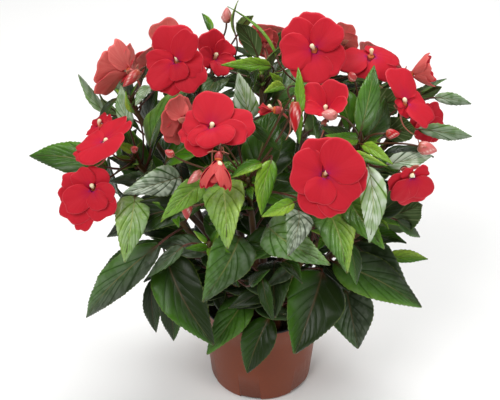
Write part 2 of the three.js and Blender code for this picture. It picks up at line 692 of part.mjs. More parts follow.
// A seeded draw between 0 and 1.
function drawFrom(seed) {
  let state = seed;
  return () => {
    state = (Math.imul(state, 1664525) + 1013904223) >>> 0;
    return state / 4294967296;
  };
}

// Points spread over a leaf, and over a bloom, that stand for it where clearance is judged.
function leafSpots(row) {
  const frame = bladeFrame(row);
  const spots = [];
  for (let i = 0; i <= 8; i += 1) {
    for (const v of [-1, -0.5, 0, 0.5, 1]) spots.push(bladePoint(frame, row.width, i / 8, v));
  }
  return spots;
}

function bloomSpots(row) {
  const frame = faceFrame(row);
  const reach = Math.max(...row.petals.map((each) => each.reach));
  const spots = [vec(0, 0, -6), vec(0, 0, 3)];
  for (const share of [0.5, 0.95]) {
    const out = share * reach;
    for (let k = 0; k < 10; k += 1) {
      const flat = out * Math.cos(radians(row.cup));
      const [x, y] = [flat * Math.cos((TURN * k) / 10), flat * Math.sin((TURN * k) / 10)];
      spots.push(vec(x, y, out * Math.sin(radians(row.cup))));
    }
  }
  return spots.map((p) => p.applyMatrix4(frame));
}

const petioleSpots = (row) => {
  const petiole = petioleCurve(row, stemCurve(STEMS[row.stem]));
  return [0.5, 0.7, 0.9].map((t) => petiole.getPoint(t));
};

// Whether a point lies in the plant's own dome, which is flatter in front.
function inDome({ x, y, z }) {
  const [wide, deep, front, high] = DOME;
  const depth = y < 0 ? front : deep;
  return (x / wide) ** 2 + (y / depth) ** 2 + ((z - DOME_HEIGHT) / high) ** 2 < 1;
}

// A leaf drawn on a stem: it grows to any side and droops more the lower it is.
function drawnLeaf(stem, draw) {
  const share = THREE.MathUtils.lerp(...FILL_SHARE, draw());
  const bearing = TURN * draw();
  const length = THREE.MathUtils.lerp(...FILL_LENGTH, draw());
  const slope = radians(FILL_DROOP + FILL_RISE * share + FILL_SLOPE_SPREAD * draw());
  const level = Math.cos(slope);
  const way = vec(Math.cos(bearing) * level, Math.sin(bearing) * level, Math.sin(slope));
  const foot = stemCurve(STEMS[stem]).getPoint(share).addScaledVector(way, FILL_PETIOLE);
  const tip = foot.clone().addScaledVector(way, length).add(vec(0, 0, -0.25 * length));
  return { ...leaf(stem, foot.toArray(), tip.toArray(), length * FILL_WIDTH, FILL_ARCH), inner: true };
}

// The cells that points fall in, as the plant is seen from each of the fill's views.
function cellsOf(spots) {
  const cells = new Map();
  FILL_VIEWS.forEach(({ from, worth }, k) => {
    const away = point(from).normalize();
    const right = UP.clone().cross(away).normalize();
    const top = away.clone().cross(right);
    for (const p of spots) {
      const cell = [k, Math.floor(p.dot(right) / FILL_CELL), Math.floor(p.dot(top) / FILL_CELL)];
      cells.set(cell.join(), worth);
    }
  });
  return cells;
}

// Fills the bush's bare stretches, stem after stem, clear of all that is placed before.
function fillLeaves() {
  const draw = drawFrom(FILL_SEED);
  const names = Object.keys(STEMS);
  const shown = [...LEAVES.flatMap(leafSpots), ...Object.values(BLOOMS).flatMap(bloomSpots)];
  const covered = new Set(cellsOf(shown).keys());
  const taken = [...shown, ...LEAVES.flatMap(petioleSpots)];
  const stalks = [
    ...Object.values(BLOOMS).map((row) => pedicelPoints(row, THROAT_BACK, stemCurve(STEMS[row.stem]), 6)),
    ...Object.values(BUDS).map((row) => pedicelPoints(row, 0, stemCurve(STEMS[row.stem]), 6)),
    ...Object.values(STEMS).map((stem) => stemCurve(stem).getPoints(24).slice(4)),
  ];
  taken.push(...stalks.flat());
  const clearBy = (gap, spots) => spots.every((p) => taken.every((q) => p.distanceTo(q) > gap));
  const rows = [];
  for (let i = 0; i < FILL_LEAVES; i += 1) {
    let best = null;
    for (let k = 0; k < FILL_DRAWS; k += 1) {
      const row = drawnLeaf(names[i % names.length], draw);
      const spots = leafSpots(row);
      const bare = [...cellsOf(spots)].filter(([cell]) => !covered.has(cell));
      const gain = bare.reduce((sum, [, worth]) => sum + worth, 0);
      if (!spots.every(inDome) || gain <= (best ? best.gain : 0)) continue;
      const stalkSpots = petioleSpots(row);
      if (clearBy(FILL_CLEARANCE, spots) && clearBy(FILL_STALK_CLEARANCE, stalkSpots)) {
        best = { row, spots, stalkSpots, bare, gain };
      }
    }
    if (best) {
      rows.push(best.row);
      taken.push(...best.spots, ...best.stalkSpots);
      for (const [cell] of best.bare) covered.add(cell);
    }
  }
  return rows;
}

const potRadius = (z) => THREE.MathUtils.lerp(POT_FOOT_RADIUS, POT_RIM_RADIUS - LIP_PROUD, z / POT_HEIGHT);

// The pot: turned in one piece, then notched through its foot ring and drilled in its drain channel.
function potSolid() {
  const floor = CHANNEL_HEIGHT + POT_WALL;
  const outline = [
    [0, 0],
    [PAD_RADIUS, 0],
    [CHANNEL_INNER, CHANNEL_HEIGHT],
    [CHANNEL_OUTER, CHANNEL_HEIGHT],
    [FOOT_INNER, 0],
    [POT_FOOT_RADIUS - POT_CORNER, 0],
    [potRadius(POT_CORNER), POT_CORNER],
    [potRadius(POT_HEIGHT - LIP_HEIGHT), POT_HEIGHT - LIP_HEIGHT],
    [POT_RIM_RADIUS, POT_HEIGHT - LIP_HEIGHT + LIP_PROUD],
    [POT_RIM_RADIUS, POT_HEIGHT],
    [POT_RIM_RADIUS - POT_WALL - 0.4, POT_HEIGHT],
    [potRadius(POT_HEIGHT - 3) - POT_WALL, POT_HEIGHT - 3],
    [potRadius(floor) - POT_WALL, floor],
    [CHANNEL_INNER - 1, floor],
    [PAD_RADIUS - 1, POT_WALL],
    [0, POT_WALL],
  ];
  const turned = new THREE.LatheGeometry(outline.map(([r, z]) => new THREE.Vector2(r, z)), POT_SIDES);
  turned.rotateX(Math.PI / 2);
  let pot = solidFromGeometry(turned);
  for (let i = 0; i < NOTCHES; i += 1) {
    const reach = POT_FOOT_RADIUS - CHANNEL_INNER;
    const notch = new THREE.BoxGeometry(NOTCH_WIDTH, reach, 2 * CHANNEL_HEIGHT);
    notch.translate(0, -CHANNEL_INNER - 4 - reach / 2, 0);
    notch.rotateZ(radians(NOTCH_TURN + (360 * i) / NOTCHES));
    pot = pot.subtract(solidFromGeometry(notch));
  }
  for (let i = 0; i < DRAIN_HOLES; i += 1) {
    const hole = new THREE.CylinderGeometry(DRAIN_HOLE_RADIUS, DRAIN_HOLE_RADIUS, 4 * POT_WALL, 10);
    hole.rotateX(Math.PI / 2);
    hole.translate(0, -DRAIN_HOLE_CIRCLE, floor);
    hole.rotateZ(radians(NOTCH_TURN + (360 * (i + 0.5)) / DRAIN_HOLES));
    pot = pot.subtract(solidFromGeometry(hole));
  }
  return pot;
}

// The soil: it follows the pot's inside at a small gap, its crumbly top is a little higher in the middle.
function soilSolid() {
  const floor = CHANNEL_HEIGHT + POT_WALL + SOIL_GAP;
  const inside = (z) => potRadius(z) - POT_WALL - SOIL_GAP;
  const outline = [[0, floor], [inside(floor), floor], [inside(SOIL_LEVEL), SOIL_LEVEL]];
  const moundAt = (r) => SOIL_LEVEL + SOIL_MOUND * (1 - (r / SOIL_TOP_RADIUS) ** 2);
  for (const r of [...SOIL_RINGS].reverse()) outline.push([r, moundAt(r)]);
  outline.push([0, SOIL_LEVEL + SOIL_MOUND]);
  const turned = new THREE.LatheGeometry(outline.map(([r, z]) => new THREE.Vector2(r, z)), SOIL_SIDES);
  turned.rotateX(Math.PI / 2);
  const place = turned.getAttribute("position");
  for (let i = 0; i < place.count; i += 1) {
    const [x, y, z] = [place.getX(i), place.getY(i), place.getZ(i)];
    if (z > SOIL_LEVEL + 0.1) {
      place.setZ(i, z + SOIL_CRUMB * Math.sin(x * 0.9 + 2) * Math.cos(y * 0.8 + x * 0.3));
    }
  }
  let soil = solidFromGeometry(turned);
  for (const { foot } of Object.values(STEMS)) {
    const radius = (STEM_FOOT_RADIUS + MEETING_GAP) / Math.cos(Math.PI / HOLE_SIDES);
    const hole = new THREE.CylinderGeometry(radius, radius, 2 * HOLE_DEPTH, HOLE_SIDES);
    hole.rotateX(Math.PI / 2);
    hole.translate(foot[0], foot[1], SOIL_LEVEL);
    soil = soil.subtract(solidFromGeometry(hole));
  }
  return soil;
}

const plant = new THREE.Group();
plant.add(meshOf("pot", potSolid(), POT_COLOUR, 0.5));
plant.add(meshOf("soil", soilSolid(), SOIL_COLOUR, 1));
const leaves = [...LEAVES, ...fillLeaves()];
for (const [name, stem] of Object.entries(STEMS)) {
  const curve = stemCurve(stem);
  const parts = [stemSolid(curve)];
  for (const row of leaves) {
    if (row.stem === name) parts.push(leafSolid(row, curve));
  }
  for (const row of Object.values(BLOOMS)) {
    if (row.stem === name) parts.push(pedicelSolid(row, THROAT_BACK, curve));
  }
  for (const row of Object.values(BUDS)) {
    if (row.stem === name) parts.push(pedicelSolid(row, 0, curve));
  }
  plant.add(meshOf(`leafy_stem_${name}`, largestBody(joined(parts)), LEAF_COLOUR, 0.45));
}
for (const [name, row] of Object.entries(BLOOMS)) {
  plant.add(meshOf(`bloom_${name}`, bloomSolid(row), PETAL_COLOUR, 0.6));
}
for (const [name, row] of Object.entries(BUDS)) {
  plant.add(meshOf(`bud_${name}`, budSolid(row), BUD_COLOUR, 0.5));
}

export default plant;
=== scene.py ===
# %% [markdown]
# # A New Guinea impatiens in its nursery pot
# The plant is a small bush: fleshy red-brown stems, glossy pointed leaves, and flat five-petalled flowers
# that face outward all round. Blender could scatter copies of one leaf and one flower over a ball, but
# then nothing would grow from anything. Here each stem, leaf and petal is drawn from its own line in
# space, in millimetres, so that every blade hangs on a stalk and every stalk comes out of a stem that
# stands in the soil.

# %% Load the frame
import json
import math

import bpy
import numpy as np
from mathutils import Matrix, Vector, kdtree, noise

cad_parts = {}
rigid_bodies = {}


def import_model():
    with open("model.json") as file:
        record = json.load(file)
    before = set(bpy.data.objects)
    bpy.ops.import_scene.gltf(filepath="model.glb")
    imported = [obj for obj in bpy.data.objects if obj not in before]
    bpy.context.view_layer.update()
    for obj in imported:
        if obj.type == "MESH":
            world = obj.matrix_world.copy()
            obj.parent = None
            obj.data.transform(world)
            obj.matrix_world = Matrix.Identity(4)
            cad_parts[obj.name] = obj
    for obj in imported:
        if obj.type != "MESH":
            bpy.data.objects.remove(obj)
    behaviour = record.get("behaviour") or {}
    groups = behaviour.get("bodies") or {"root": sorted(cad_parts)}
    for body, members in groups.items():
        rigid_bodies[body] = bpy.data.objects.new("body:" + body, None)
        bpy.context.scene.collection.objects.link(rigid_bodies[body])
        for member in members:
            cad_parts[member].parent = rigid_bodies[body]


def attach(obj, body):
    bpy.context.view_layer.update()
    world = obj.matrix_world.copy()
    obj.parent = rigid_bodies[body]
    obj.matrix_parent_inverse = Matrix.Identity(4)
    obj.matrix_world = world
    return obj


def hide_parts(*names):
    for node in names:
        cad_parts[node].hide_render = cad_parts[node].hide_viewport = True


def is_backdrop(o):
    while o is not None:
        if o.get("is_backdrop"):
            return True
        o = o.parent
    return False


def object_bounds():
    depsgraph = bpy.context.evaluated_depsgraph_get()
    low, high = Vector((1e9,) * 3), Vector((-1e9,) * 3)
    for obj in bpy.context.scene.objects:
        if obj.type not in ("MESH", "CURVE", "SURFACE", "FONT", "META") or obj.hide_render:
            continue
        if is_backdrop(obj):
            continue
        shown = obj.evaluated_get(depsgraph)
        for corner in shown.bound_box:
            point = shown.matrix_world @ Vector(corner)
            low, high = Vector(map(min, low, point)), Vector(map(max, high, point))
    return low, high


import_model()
cad_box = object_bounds()
MM = 0.001
UP = np.array([0.0, 0.0, 1.0])
TURN = 2 * math.pi
print("the plant's box in mm:", [[round(x / MM) for x in corner] for corner in cad_box])

# %% [markdown]
# Every finish below is a small graph of nodes. One function adds a node, sets its options and joins its
# sockets, so that a material reads from top to bottom like a recipe. Colours are written as a painter
# would pick them from a screen, in sRGB, and one function turns them to the linear light that the
# renderer counts in.


# %% Colours and nodes
def linear(hex_colour):
    """An sRGB hex colour as linear red, green, blue and alpha."""
    parts = [int(hex_colour[i:i + 2], 16) / 255 for i in (1, 3, 5)]
    return [c / 12.92 if c <= 0.04045 else ((c + 0.055) / 1.055) ** 2.4 for c in parts] + [1.0]


def add(tree, kind, inputs=None, **settings):
    """Adds a node. settings are its options; inputs are its sockets: values, nodes or nodes' outputs."""
    node = tree.nodes.new(kind)
    for option, value in settings.items():
        setattr(node, option, value)
    for socket, value in (inputs or {}).items():
        if isinstance(value, bpy.types.Node):
            value = value.outputs[0]
        if isinstance(value, bpy.types.NodeSocket):
            tree.links.new(value, node.inputs[socket])
        else:
            node.inputs[socket].default_value = value
    return node


def start_material(name):
    """An empty material and its node tree."""
    material = bpy.data.materials.new(name)
    material.use_nodes = True
    material.node_tree.nodes.clear()
    return material, material.node_tree


def finish_material(tree, surface):
    add(tree, "ShaderNodeOutputMaterial", {"Surface": surface})


print("petal red in linear light:", [round(c, 3) for c in linear("#c4202c")])

# %% [markdown]
# Living tissue needs to know where on the leaf or petal a point lies: how far along it, how far across,
# and how old it is. That could come from a UV map, but three numbers stored at each point do the same job
# and also carry the age. They are kept under the name growth, and the materials read them back. Three
# more, under the name finish, say how a leaf or petal differs from its neighbours.


# %% Numbers stored at each point
def stored_numbers(tree, name):
    """The three numbers that the mesh keeps at each point under a name."""
    kept = add(tree, "ShaderNodeAttribute", attribute_name=name)
    return add(tree, "ShaderNodeSeparateXYZ", {"Vector": kept.outputs["Vector"]}).outputs


print("names of the stored numbers: growth and finish")

# %% [markdown]
# The upper side of a leaf is a thick waxy skin, the cuticle, over green tissue. Its side veins are sunk,
# and the tissue between them is domed and shines. Wax has an IOR of about 1.45 and a roughness of about
# 0.35. The first stored number runs along each side vein unchanged, so that equal steps of it give the
# veins: folding it into bands tells how far a point is from the nearest one. The mesh is folded by the
# same bands, so paint and groove agree. The veins are painted darker, partly their own colour and partly
# painted shade in the sunk grooves. The green darkens with age. One half of a leaf is painted lighter, as
# painted light, and the other darker, as painted shade, and the finish says how much painted highlight
# lies on the wax: pale silvery streaks on the domes between the veins.

# %% Leaf skin, upper side
VEINS_PER_SIDE = 7
VEIN_OFFSET = 0.4
CUTICLE_IOR = 1.45
MOTTLE_MM = 14
PORE_MM = 1.6
LEAF_AGES = {0.0: "#9cbb3c", 0.25: "#74a02a", 0.5: "#477816", 0.75: "#2f5210", 1.0: "#1d2e0a"}
HIGHLIGHT_PATCH_MM = 32


def colour_stops(ramp, stops):
    """Sets a colour ramp to the given places and sRGB colours."""
    while len(ramp.elements) < len(stops):
        ramp.elements.new(1.0)
    for element, (place, colour) in zip(ramp.elements, stops.items()):
        element.position = place
        element.color = linear(colour)


def vein_bands(tree, along, side):
    """How near a point is to a side vein: 0 on the vein, 1 half way to the next."""
    right = add(tree, "ShaderNodeMath", {0: side, 1: 0.0}, operation="GREATER_THAN")
    shift = add(tree, "ShaderNodeMath", {0: right, 1: VEIN_OFFSET}, operation="MULTIPLY")
    band = add(tree, "ShaderNodeMath", {0: along, 1: 2.0 * VEINS_PER_SIDE, 2: shift},
               operation="MULTIPLY_ADD")
    return add(tree, "ShaderNodeMath", {0: band, 1: 1.0}, operation="PINGPONG")


def leaf_upper():
    material, tree = start_material("leaf cuticle, waxy upper skin")
    along, side, age = stored_numbers(tree, "growth")
    across = add(tree, "ShaderNodeMath", {0: side}, operation="ABSOLUTE")
    pale, redness, lit_half = stored_numbers(tree, "finish")
    folded = vein_bands(tree, along, side)
    vein = add(tree, "ShaderNodeMapRange", {"Value": folded, "From Min": 0.02, "From Max": 0.13,
                                            "To Min": 1.0, "To Max": 0.0}, interpolation_type="SMOOTHSTEP")
    crown = add(tree, "ShaderNodeMapRange", {"Value": folded, "From Min": 0.04, "From Max": 0.34},
                interpolation_type="SMOOTHSTEP")
    midrib = add(tree, "ShaderNodeMapRange", {"Value": across, "From Min": 0.015, "From Max": 0.06,
                                              "To Min": 1.0, "To Max": 0.0},
                 interpolation_type="SMOOTHSTEP")
    edge = add(tree, "ShaderNodeMapRange", {"Value": across, "From Min": 0.95, "To Max": 0.45},
               interpolation_type="SMOOTHSTEP")
    tip = add(tree, "ShaderNodeMapRange", {"Value": along, "From Min": 0.95, "To Max": 0.6})
    mottle = add(tree, "ShaderNodeTexNoise", {"Scale": 1 / (MOTTLE_MM * MM), "Detail": 3.0})
    # Painted light and shade: one half of the leaf is painted younger and lighter, the other older and
    # darker.
    half = add(tree, "ShaderNodeMath", {0: side, 1: lit_half}, operation="MULTIPLY")
    age_with_painted_lit_half = add(tree, "ShaderNodeMath", {0: age, 1: half}, operation="SUBTRACT", use_clamp=True)
    green = add(tree, "ShaderNodeValToRGB", {"Fac": age_with_painted_lit_half})
    colour_stops(green.color_ramp, LEAF_AGES)
    shade = add(tree, "ShaderNodeMapRange", {"Value": mottle.outputs["Fac"], "From Min": 0.35,
                                             "From Max": 0.7, "To Min": 0.0, "To Max": 0.3})
    mottled = add(tree, "ShaderNodeMixRGB", {"Fac": shade, "Color1": green, "Color2": linear("#1d2c12")})
    # Painted highlight: pale silvery streaks on the domes between the veins, in soft patches, as strong as
    # pale.
    patches = add(tree, "ShaderNodeTexNoise", {"Scale": 1 / (HIGHLIGHT_PATCH_MM * MM), "Detail": 0.0})
    highlight_patchiness = add(tree, "ShaderNodeMapRange", {"Value": patches.outputs["Fac"], "From Min": 0.35,
                                              "From Max": 0.6, "To Min": 0.45},
                 interpolation_type="SMOOTHSTEP")
    waxy = add(tree, "ShaderNodeMath", {0: pale, 1: highlight_patchiness}, operation="MULTIPLY")
    glint = add(tree, "ShaderNodeMath", {0: waxy, 1: crown}, operation="MULTIPLY")
    painted_highlight = add(tree, "ShaderNodeMixRGB", {"Fac": glint, "Color1": mottled, "Color2": linear("#c2cfba")})
    # The veins painted darker: partly their own colour, partly painted shade in the sunk grooves.
    groove = add(tree, "ShaderNodeMath", {0: vein, 1: 0.5}, operation="MULTIPLY")
    veined = add(tree, "ShaderNodeMixRGB", {"Fac": groove, "Color1": painted_highlight, "Color2": linear("#1c3010")})
    rib_tone = add(tree, "ShaderNodeMixRGB", {"Fac": age, "Color1": linear("#bcc873"),
                                              "Color2": linear("#5a4630")})
    rib = add(tree, "ShaderNodeMath", {0: midrib, 1: 0.6}, operation="MULTIPLY")
    ribbed = add(tree, "ShaderNodeMixRGB", {"Fac": rib, "Color1": veined, "Color2": rib_tone})
    rimmed = add(tree, "ShaderNodeMixRGB", {"Fac": edge, "Color1": ribbed, "Color2": linear("#7d9140")})
    tipped = add(tree, "ShaderNodeMixRGB", {"Fac": tip, "Color1": rimmed, "Color2": linear("#6a5c30")})
    red_foot = add(tree, "ShaderNodeMixRGB", {"Fac": redness, "Color1": tipped,
                                              "Color2": linear("#5c3626")})
    pores = add(tree, "ShaderNodeTexNoise", {"Scale": 1 / (PORE_MM * MM), "Detail": 2.0})
    sunk = add(tree, "ShaderNodeMath", {0: vein, 1: midrib}, operation="MAXIMUM")
    height = add(tree, "ShaderNodeMath", {0: pores.outputs["Fac"], 1: 0.5}, operation="MULTIPLY")
    relief = add(tree, "ShaderNodeMath", {0: height, 1: sunk}, operation="SUBTRACT")
    bump = add(tree, "ShaderNodeBump", {"Height": relief, "Strength": 0.6, "Distance": 0.4 * MM})
    gloss = add(tree, "ShaderNodeMapRange", {"Value": crown, "To Min": 0.4, "To Max": 0.22})
    skin = add(tree, "ShaderNodeBsdfPrincipled", {
        "Base Color": red_foot, "Roughness": gloss, "IOR": CUTICLE_IOR, "Normal": bump,
        "Specular IOR Level": 0.3})
    finish_material(tree, skin)
    return material


LEAF_UPPER = leaf_upper()
print("made", LEAF_UPPER.name)

# %% [markdown]
# The underside of a leaf has no wax: it is paler, matt and a little grey, and the veins stand out of it
# as ribs. The same vein bands serve, only lighter than the tissue instead of darker.


# %% Leaf skin, underside
def leaf_lower():
    material, tree = start_material("leaf underside, matt skin")
    along, side, age = stored_numbers(tree, "growth")
    folded = vein_bands(tree, along, side)
    vein = add(tree, "ShaderNodeMapRange", {"Value": folded, "From Max": 0.22, "To Min": 0.7, "To Max": 0.0},
               interpolation_type="SMOOTHSTEP")
    green = add(tree, "ShaderNodeMixRGB", {"Fac": age, "Color1": linear("#86a551"),
                                           "Color2": linear("#43592f")})
    veined = add(tree, "ShaderNodeMixRGB", {"Fac": vein, "Color1": green, "Color2": linear("#9aa873")})
    bump = add(tree, "ShaderNodeBump", {"Height": vein, "Strength": 0.5, "Distance": 0.5 * MM})
    skin = add(tree, "ShaderNodeBsdfPrincipled", {"Base Color": veined, "Roughness": 0.62,
                                                  "IOR": CUTICLE_IOR, "Normal": bump})
    finish_material(tree, skin)
    return material


LEAF_LOWER = leaf_lower()
print("made", LEAF_LOWER.name)

# %% [markdown]
# Stems and stalks are juicy and smooth, full of water, with a thin shining skin. They are dark red-brown
# where the light reaches them, and greener inside the bush and near the tips. The second number stored at
# their points says how red each is, and noise stretched along the stem gives the faint streaks of its
# fibres.

# %% Stem skin
FIBRE_MM = 1.2


def stem_skin():
    material, tree = start_material("stem skin, smooth and fleshy")
    redness = stored_numbers(tree, "growth")[1]
    where = add(tree, "ShaderNodeTexCoord")
    stretch = add(tree, "ShaderNodeMapping", {"Vector": where.outputs["Object"], "Scale": (1.0, 1.0, 0.12)})
    fibres = add(tree, "ShaderNodeTexNoise", {"Vector": stretch, "Scale": 1 / (FIBRE_MM * MM),
                                              "Detail": 3.0})
    green = add(tree, "ShaderNodeMixRGB", {"Fac": fibres.outputs["Fac"], "Color1": linear("#34431c"),
                                           "Color2": linear("#56622e")})
    red = add(tree, "ShaderNodeMixRGB", {"Fac": fibres.outputs["Fac"], "Color1": linear("#331410"),
                                         "Color2": linear("#6b3024")})
    mixed = add(tree, "ShaderNodeMixRGB", {"Fac": redness, "Color1": green, "Color2": red})
    bump = add(tree, "ShaderNodeBump", {"Height": fibres.outputs["Fac"], "Strength": 0.25,
                                        "Distance": 0.3 * MM})
    skin = add(tree, "ShaderNodeBsdfPrincipled", {"Base Color": mixed, "Roughness": 0.38, "IOR": 1.42,
                                                  "Normal": bump})
    finish_material(tree, skin)
    return material


STEM_SKIN = stem_skin()
print("made", STEM_SKIN.name)

# %% [markdown]
# A petal's face is made of tiny domed cells, which scatter light so that it looks like velvet: deep and
# saturated straight on, a little lighter at grazing angles. Sheen gives that. Near the throat the red
# turns to magenta, and fine veins fan out from it. The back of the petal has flat cells and less colour,
# so it looks salmon pink. On some flowers the backs are painted a deeper, darker red: partly the colour of
# young petals and partly painted shade.

# %% Petals, face and back
PETAL_VEINS = 16


def petal_streaks(tree, along, side, seed):
    """Fine veins that fan out from the throat: noise drawn out along the petal."""
    wide = add(tree, "ShaderNodeMath", {0: side, 1: float(PETAL_VEINS)}, operation="MULTIPLY")
    long = add(tree, "ShaderNodeMath", {0: along, 1: 1.6}, operation="MULTIPLY")
    spot = add(tree, "ShaderNodeCombineXYZ", {"X": long, "Y": wide, "Z": seed})
    return add(tree, "ShaderNodeTexNoise", {"Vector": spot, "Scale": 1.0, "Detail": 3.0})


def petal_face():
    material, tree = start_material("petal face, velvety red")
    along, side, seed = stored_numbers(tree, "growth")
    streaks = petal_streaks(tree, along, side, seed)
    red = add(tree, "ShaderNodeMixRGB", {"Fac": streaks.outputs["Fac"], "Color1": linear("#bb1b2b"),
                                         "Color2": linear("#c82534")})
    inner = add(tree, "ShaderNodeMapRange", {"Value": along, "From Min": 0.1, "From Max": 0.55,
                                             "To Min": 0.8, "To Max": 0.0}, interpolation_type="SMOOTHSTEP")
    magenta = add(tree, "ShaderNodeMixRGB", {"Fac": inner, "Color1": red, "Color2": linear("#b3153f")})
    ring = add(tree, "ShaderNodeMapRange", {"Value": along, "From Min": 0.1, "From Max": 0.22,
                                            "To Min": 1.0, "To Max": 0.0}, interpolation_type="SMOOTHSTEP")
    blots = add(tree, "ShaderNodeMapRange", {"Value": streaks.outputs["Fac"], "From Min": 0.42,
                                             "From Max": 0.52}, interpolation_type="SMOOTHSTEP")
    spotted = add(tree, "ShaderNodeMath", {0: ring, 1: blots}, operation="MULTIPLY")
    eye = add(tree, "ShaderNodeMixRGB", {"Fac": spotted, "Color1": magenta, "Color2": linear("#8b1f6c")})
    # The petal's end painted lighter: partly a paler margin, partly a painted highlight along the edge.
    pale_rim_and_highlight = add(tree, "ShaderNodeMapRange", {"Value": along, "From Min": 0.965, "To Max": 0.45})
    rimmed = add(tree, "ShaderNodeMixRGB", {"Fac": pale_rim_and_highlight, "Color1": eye, "Color2": linear("#e8606a")})
    bump = add(tree, "ShaderNodeBump", {"Height": streaks.outputs["Fac"], "Strength": 0.15,
                                        "Distance": 0.5 * MM})
    velvet = add(tree, "ShaderNodeBsdfPrincipled", {
        "Base Color": rimmed, "Roughness": 0.6, "IOR": 1.36, "Normal": bump, "Specular IOR Level": 0.2,
        "Sheen Weight": 0.12, "Sheen Roughness": 0.4, "Sheen Tint": linear("#ff4a58"),
        "Subsurface Weight": 0.12, "Subsurface Radius": (1.0, 0.25, 0.15), "Subsurface Scale": 1.5 * MM})
    finish_material(tree, velvet)
    return material


def petal_back():
    material, tree = start_material("petal back, salmon pink")
    along, side, seed = stored_numbers(tree, "growth")
    young_and_shaded_share = stored_numbers(tree, "finish")[0]
    streaks = petal_streaks(tree, along, side, seed)
    pink = add(tree, "ShaderNodeMixRGB", {"Fac": streaks.outputs["Fac"], "Color1": linear("#d9524e"),
                                          "Color2": linear("#f0867e")})
    foot = add(tree, "ShaderNodeMapRange", {"Value": along, "From Min": 0.05, "From Max": 0.4,
                                            "To Min": 0.6, "To Max": 0.0})
    footed = add(tree, "ShaderNodeMixRGB", {"Fac": foot, "Color1": pink, "Color2": linear("#c2323c")})
    # Darker red backs on some flowers: partly young colour, partly painted shade.
    young_and_shaded_back = add(tree, "ShaderNodeMixRGB", {"Fac": young_and_shaded_share, "Color1": footed, "Color2": linear("#ad1a20")})
    bump = add(tree, "ShaderNodeBump", {"Height": streaks.outputs["Fac"], "Strength": 0.4,
                                        "Distance": 0.5 * MM})
    skin = add(tree, "ShaderNodeBsdfPrincipled", {
        "Base Color": young_and_shaded_back, "Roughness": 0.55, "IOR": 1.36, "Normal": bump, "Specular IOR Level": 0.35,
        "Sheen Weight": 0.15, "Sheen Roughness": 0.5, "Sheen Tint": linear("#ffb0a8"),
        "Subsurface Weight": 0.12, "Subsurface Radius": (1.0, 0.4, 0.3), "Subsurface Scale": 1.5 * MM})
    finish_material(tree, skin)
    return material


PETAL_FACE = petal_face()
PETAL_BACK = petal_back()
print("made", PETAL_FACE.name, "and", PETAL_BACK.name)

# %% [markdown]
# In the throat stand the stamens, grown together into one pale cap that hangs over the opening. It is
# soft and waxy. Around it the opening is orange yellow and dark. A bud is a closed flower: its petals lie
# wound over each other, so it shows pale seams that run in a slow spiral from the foot to the point.


# %% Stamens, throat, sepals and buds
def stamen_cap():
    material, tree = start_material("stamen cap, waxy cream")
    along = stored_numbers(tree, "growth")[0]
    cream = add(tree, "ShaderNodeMixRGB", {"Fac": along, "Color1": linear("#c8602a"),
                                           "Color2": linear("#fff4cc")})
    wax = add(tree, "ShaderNodeBsdfPrincipled", {"Base Color": cream, "Roughness": 0.45, "IOR": 1.4})
    finish_material(tree, wax)
    return material


def sepal_skin():
    material, tree = start_material("sepal and spur skin, pink green")
    along = stored_numbers(tree, "growth")[0]
    tone = add(tree, "ShaderNodeMixRGB", {"Fac": along, "Color1": linear("#a8343a"),
                                          "Color2": linear("#c98a70")})
    skin = add(tree, "ShaderNodeBsdfPrincipled", {"Base Color": tone, "Roughness": 0.4, "IOR": 1.4})
    finish_material(tree, skin)
    return material


def bud_skin():
    material, tree = start_material("bud, wound petals")
    along, seam, tone = stored_numbers(tree, "growth")
    deep = add(tree, "ShaderNodeMixRGB", {"Fac": tone, "Color1": linear("#f3a29c"),
                                          "Color2": linear("#b8141a")})
    green = add(tree, "ShaderNodeMapRange", {"Value": along, "From Max": 0.25, "To Min": 0.8, "To Max": 0.0})
    footed = add(tree, "ShaderNodeMixRGB", {"Fac": green, "Color1": deep, "Color2": linear("#9c5a3c")})
    lined = add(tree, "ShaderNodeMixRGB", {"Fac": seam, "Color1": footed, "Color2": linear("#f8d3c8")})
    skin = add(tree, "ShaderNodeBsdfPrincipled", {"Base Color": lined, "Roughness": 0.28, "IOR": 1.42,
                                                  "Sheen Weight": 0.1, "Sheen Roughness": 0.4})
    finish_material(tree, skin)
    return material


STAMEN_CAP = stamen_cap()
SEPAL_SKIN = sepal_skin()
BUD_SKIN = bud_skin()
print("made", STAMEN_CAP.name, SEPAL_SKIN.name, BUD_SKIN.name)

# %% [markdown]
# The pot is injection moulded polypropylene, pressed in two colours at once: terracotta outside and black
# inside. Moulded plastic has a satin skin with a very faint orange-peel ripple, about 3 mm from crest to
# crest. Handling and watering leave it a little duller in patches. The peat is brown black, dry crumbs
# over wet ones, and rough.

# %% Pot plastic and peat
PEEL_MM = 3.0
DUST_MM = 22.0
LUMP_MM = 2.5


def moulded_plastic(name, light, dark, roughness):
    material, tree = start_material(name)
    peel = add(tree, "ShaderNodeTexNoise", {"Scale": 1 / (PEEL_MM * MM), "Detail": 1.0})
    dust = add(tree, "ShaderNodeTexNoise", {"Scale": 1 / (DUST_MM * MM), "Detail": 4.0})
    colour = add(tree, "ShaderNodeMixRGB", {"Fac": dust.outputs["Fac"], "Color1": linear(dark),
                                            "Color2": linear(light)})
    worn = add(tree, "ShaderNodeMapRange", {"Value": dust.outputs["Fac"], "From Min": 0.3, "From Max": 0.7,
                                            "To Min": roughness - 0.05, "To Max": roughness + 0.08})
    bump = add(tree, "ShaderNodeBump", {"Height": peel.outputs["Fac"], "Strength": 0.12,
                                        "Distance": 0.2 * MM})
    plastic = add(tree, "ShaderNodeBsdfPrincipled", {"Base Color": colour, "Roughness": worn, "IOR": 1.49,
                                                     "Normal": bump, "Specular IOR Level": 0.28})
    finish_material(tree, plastic)
    return material


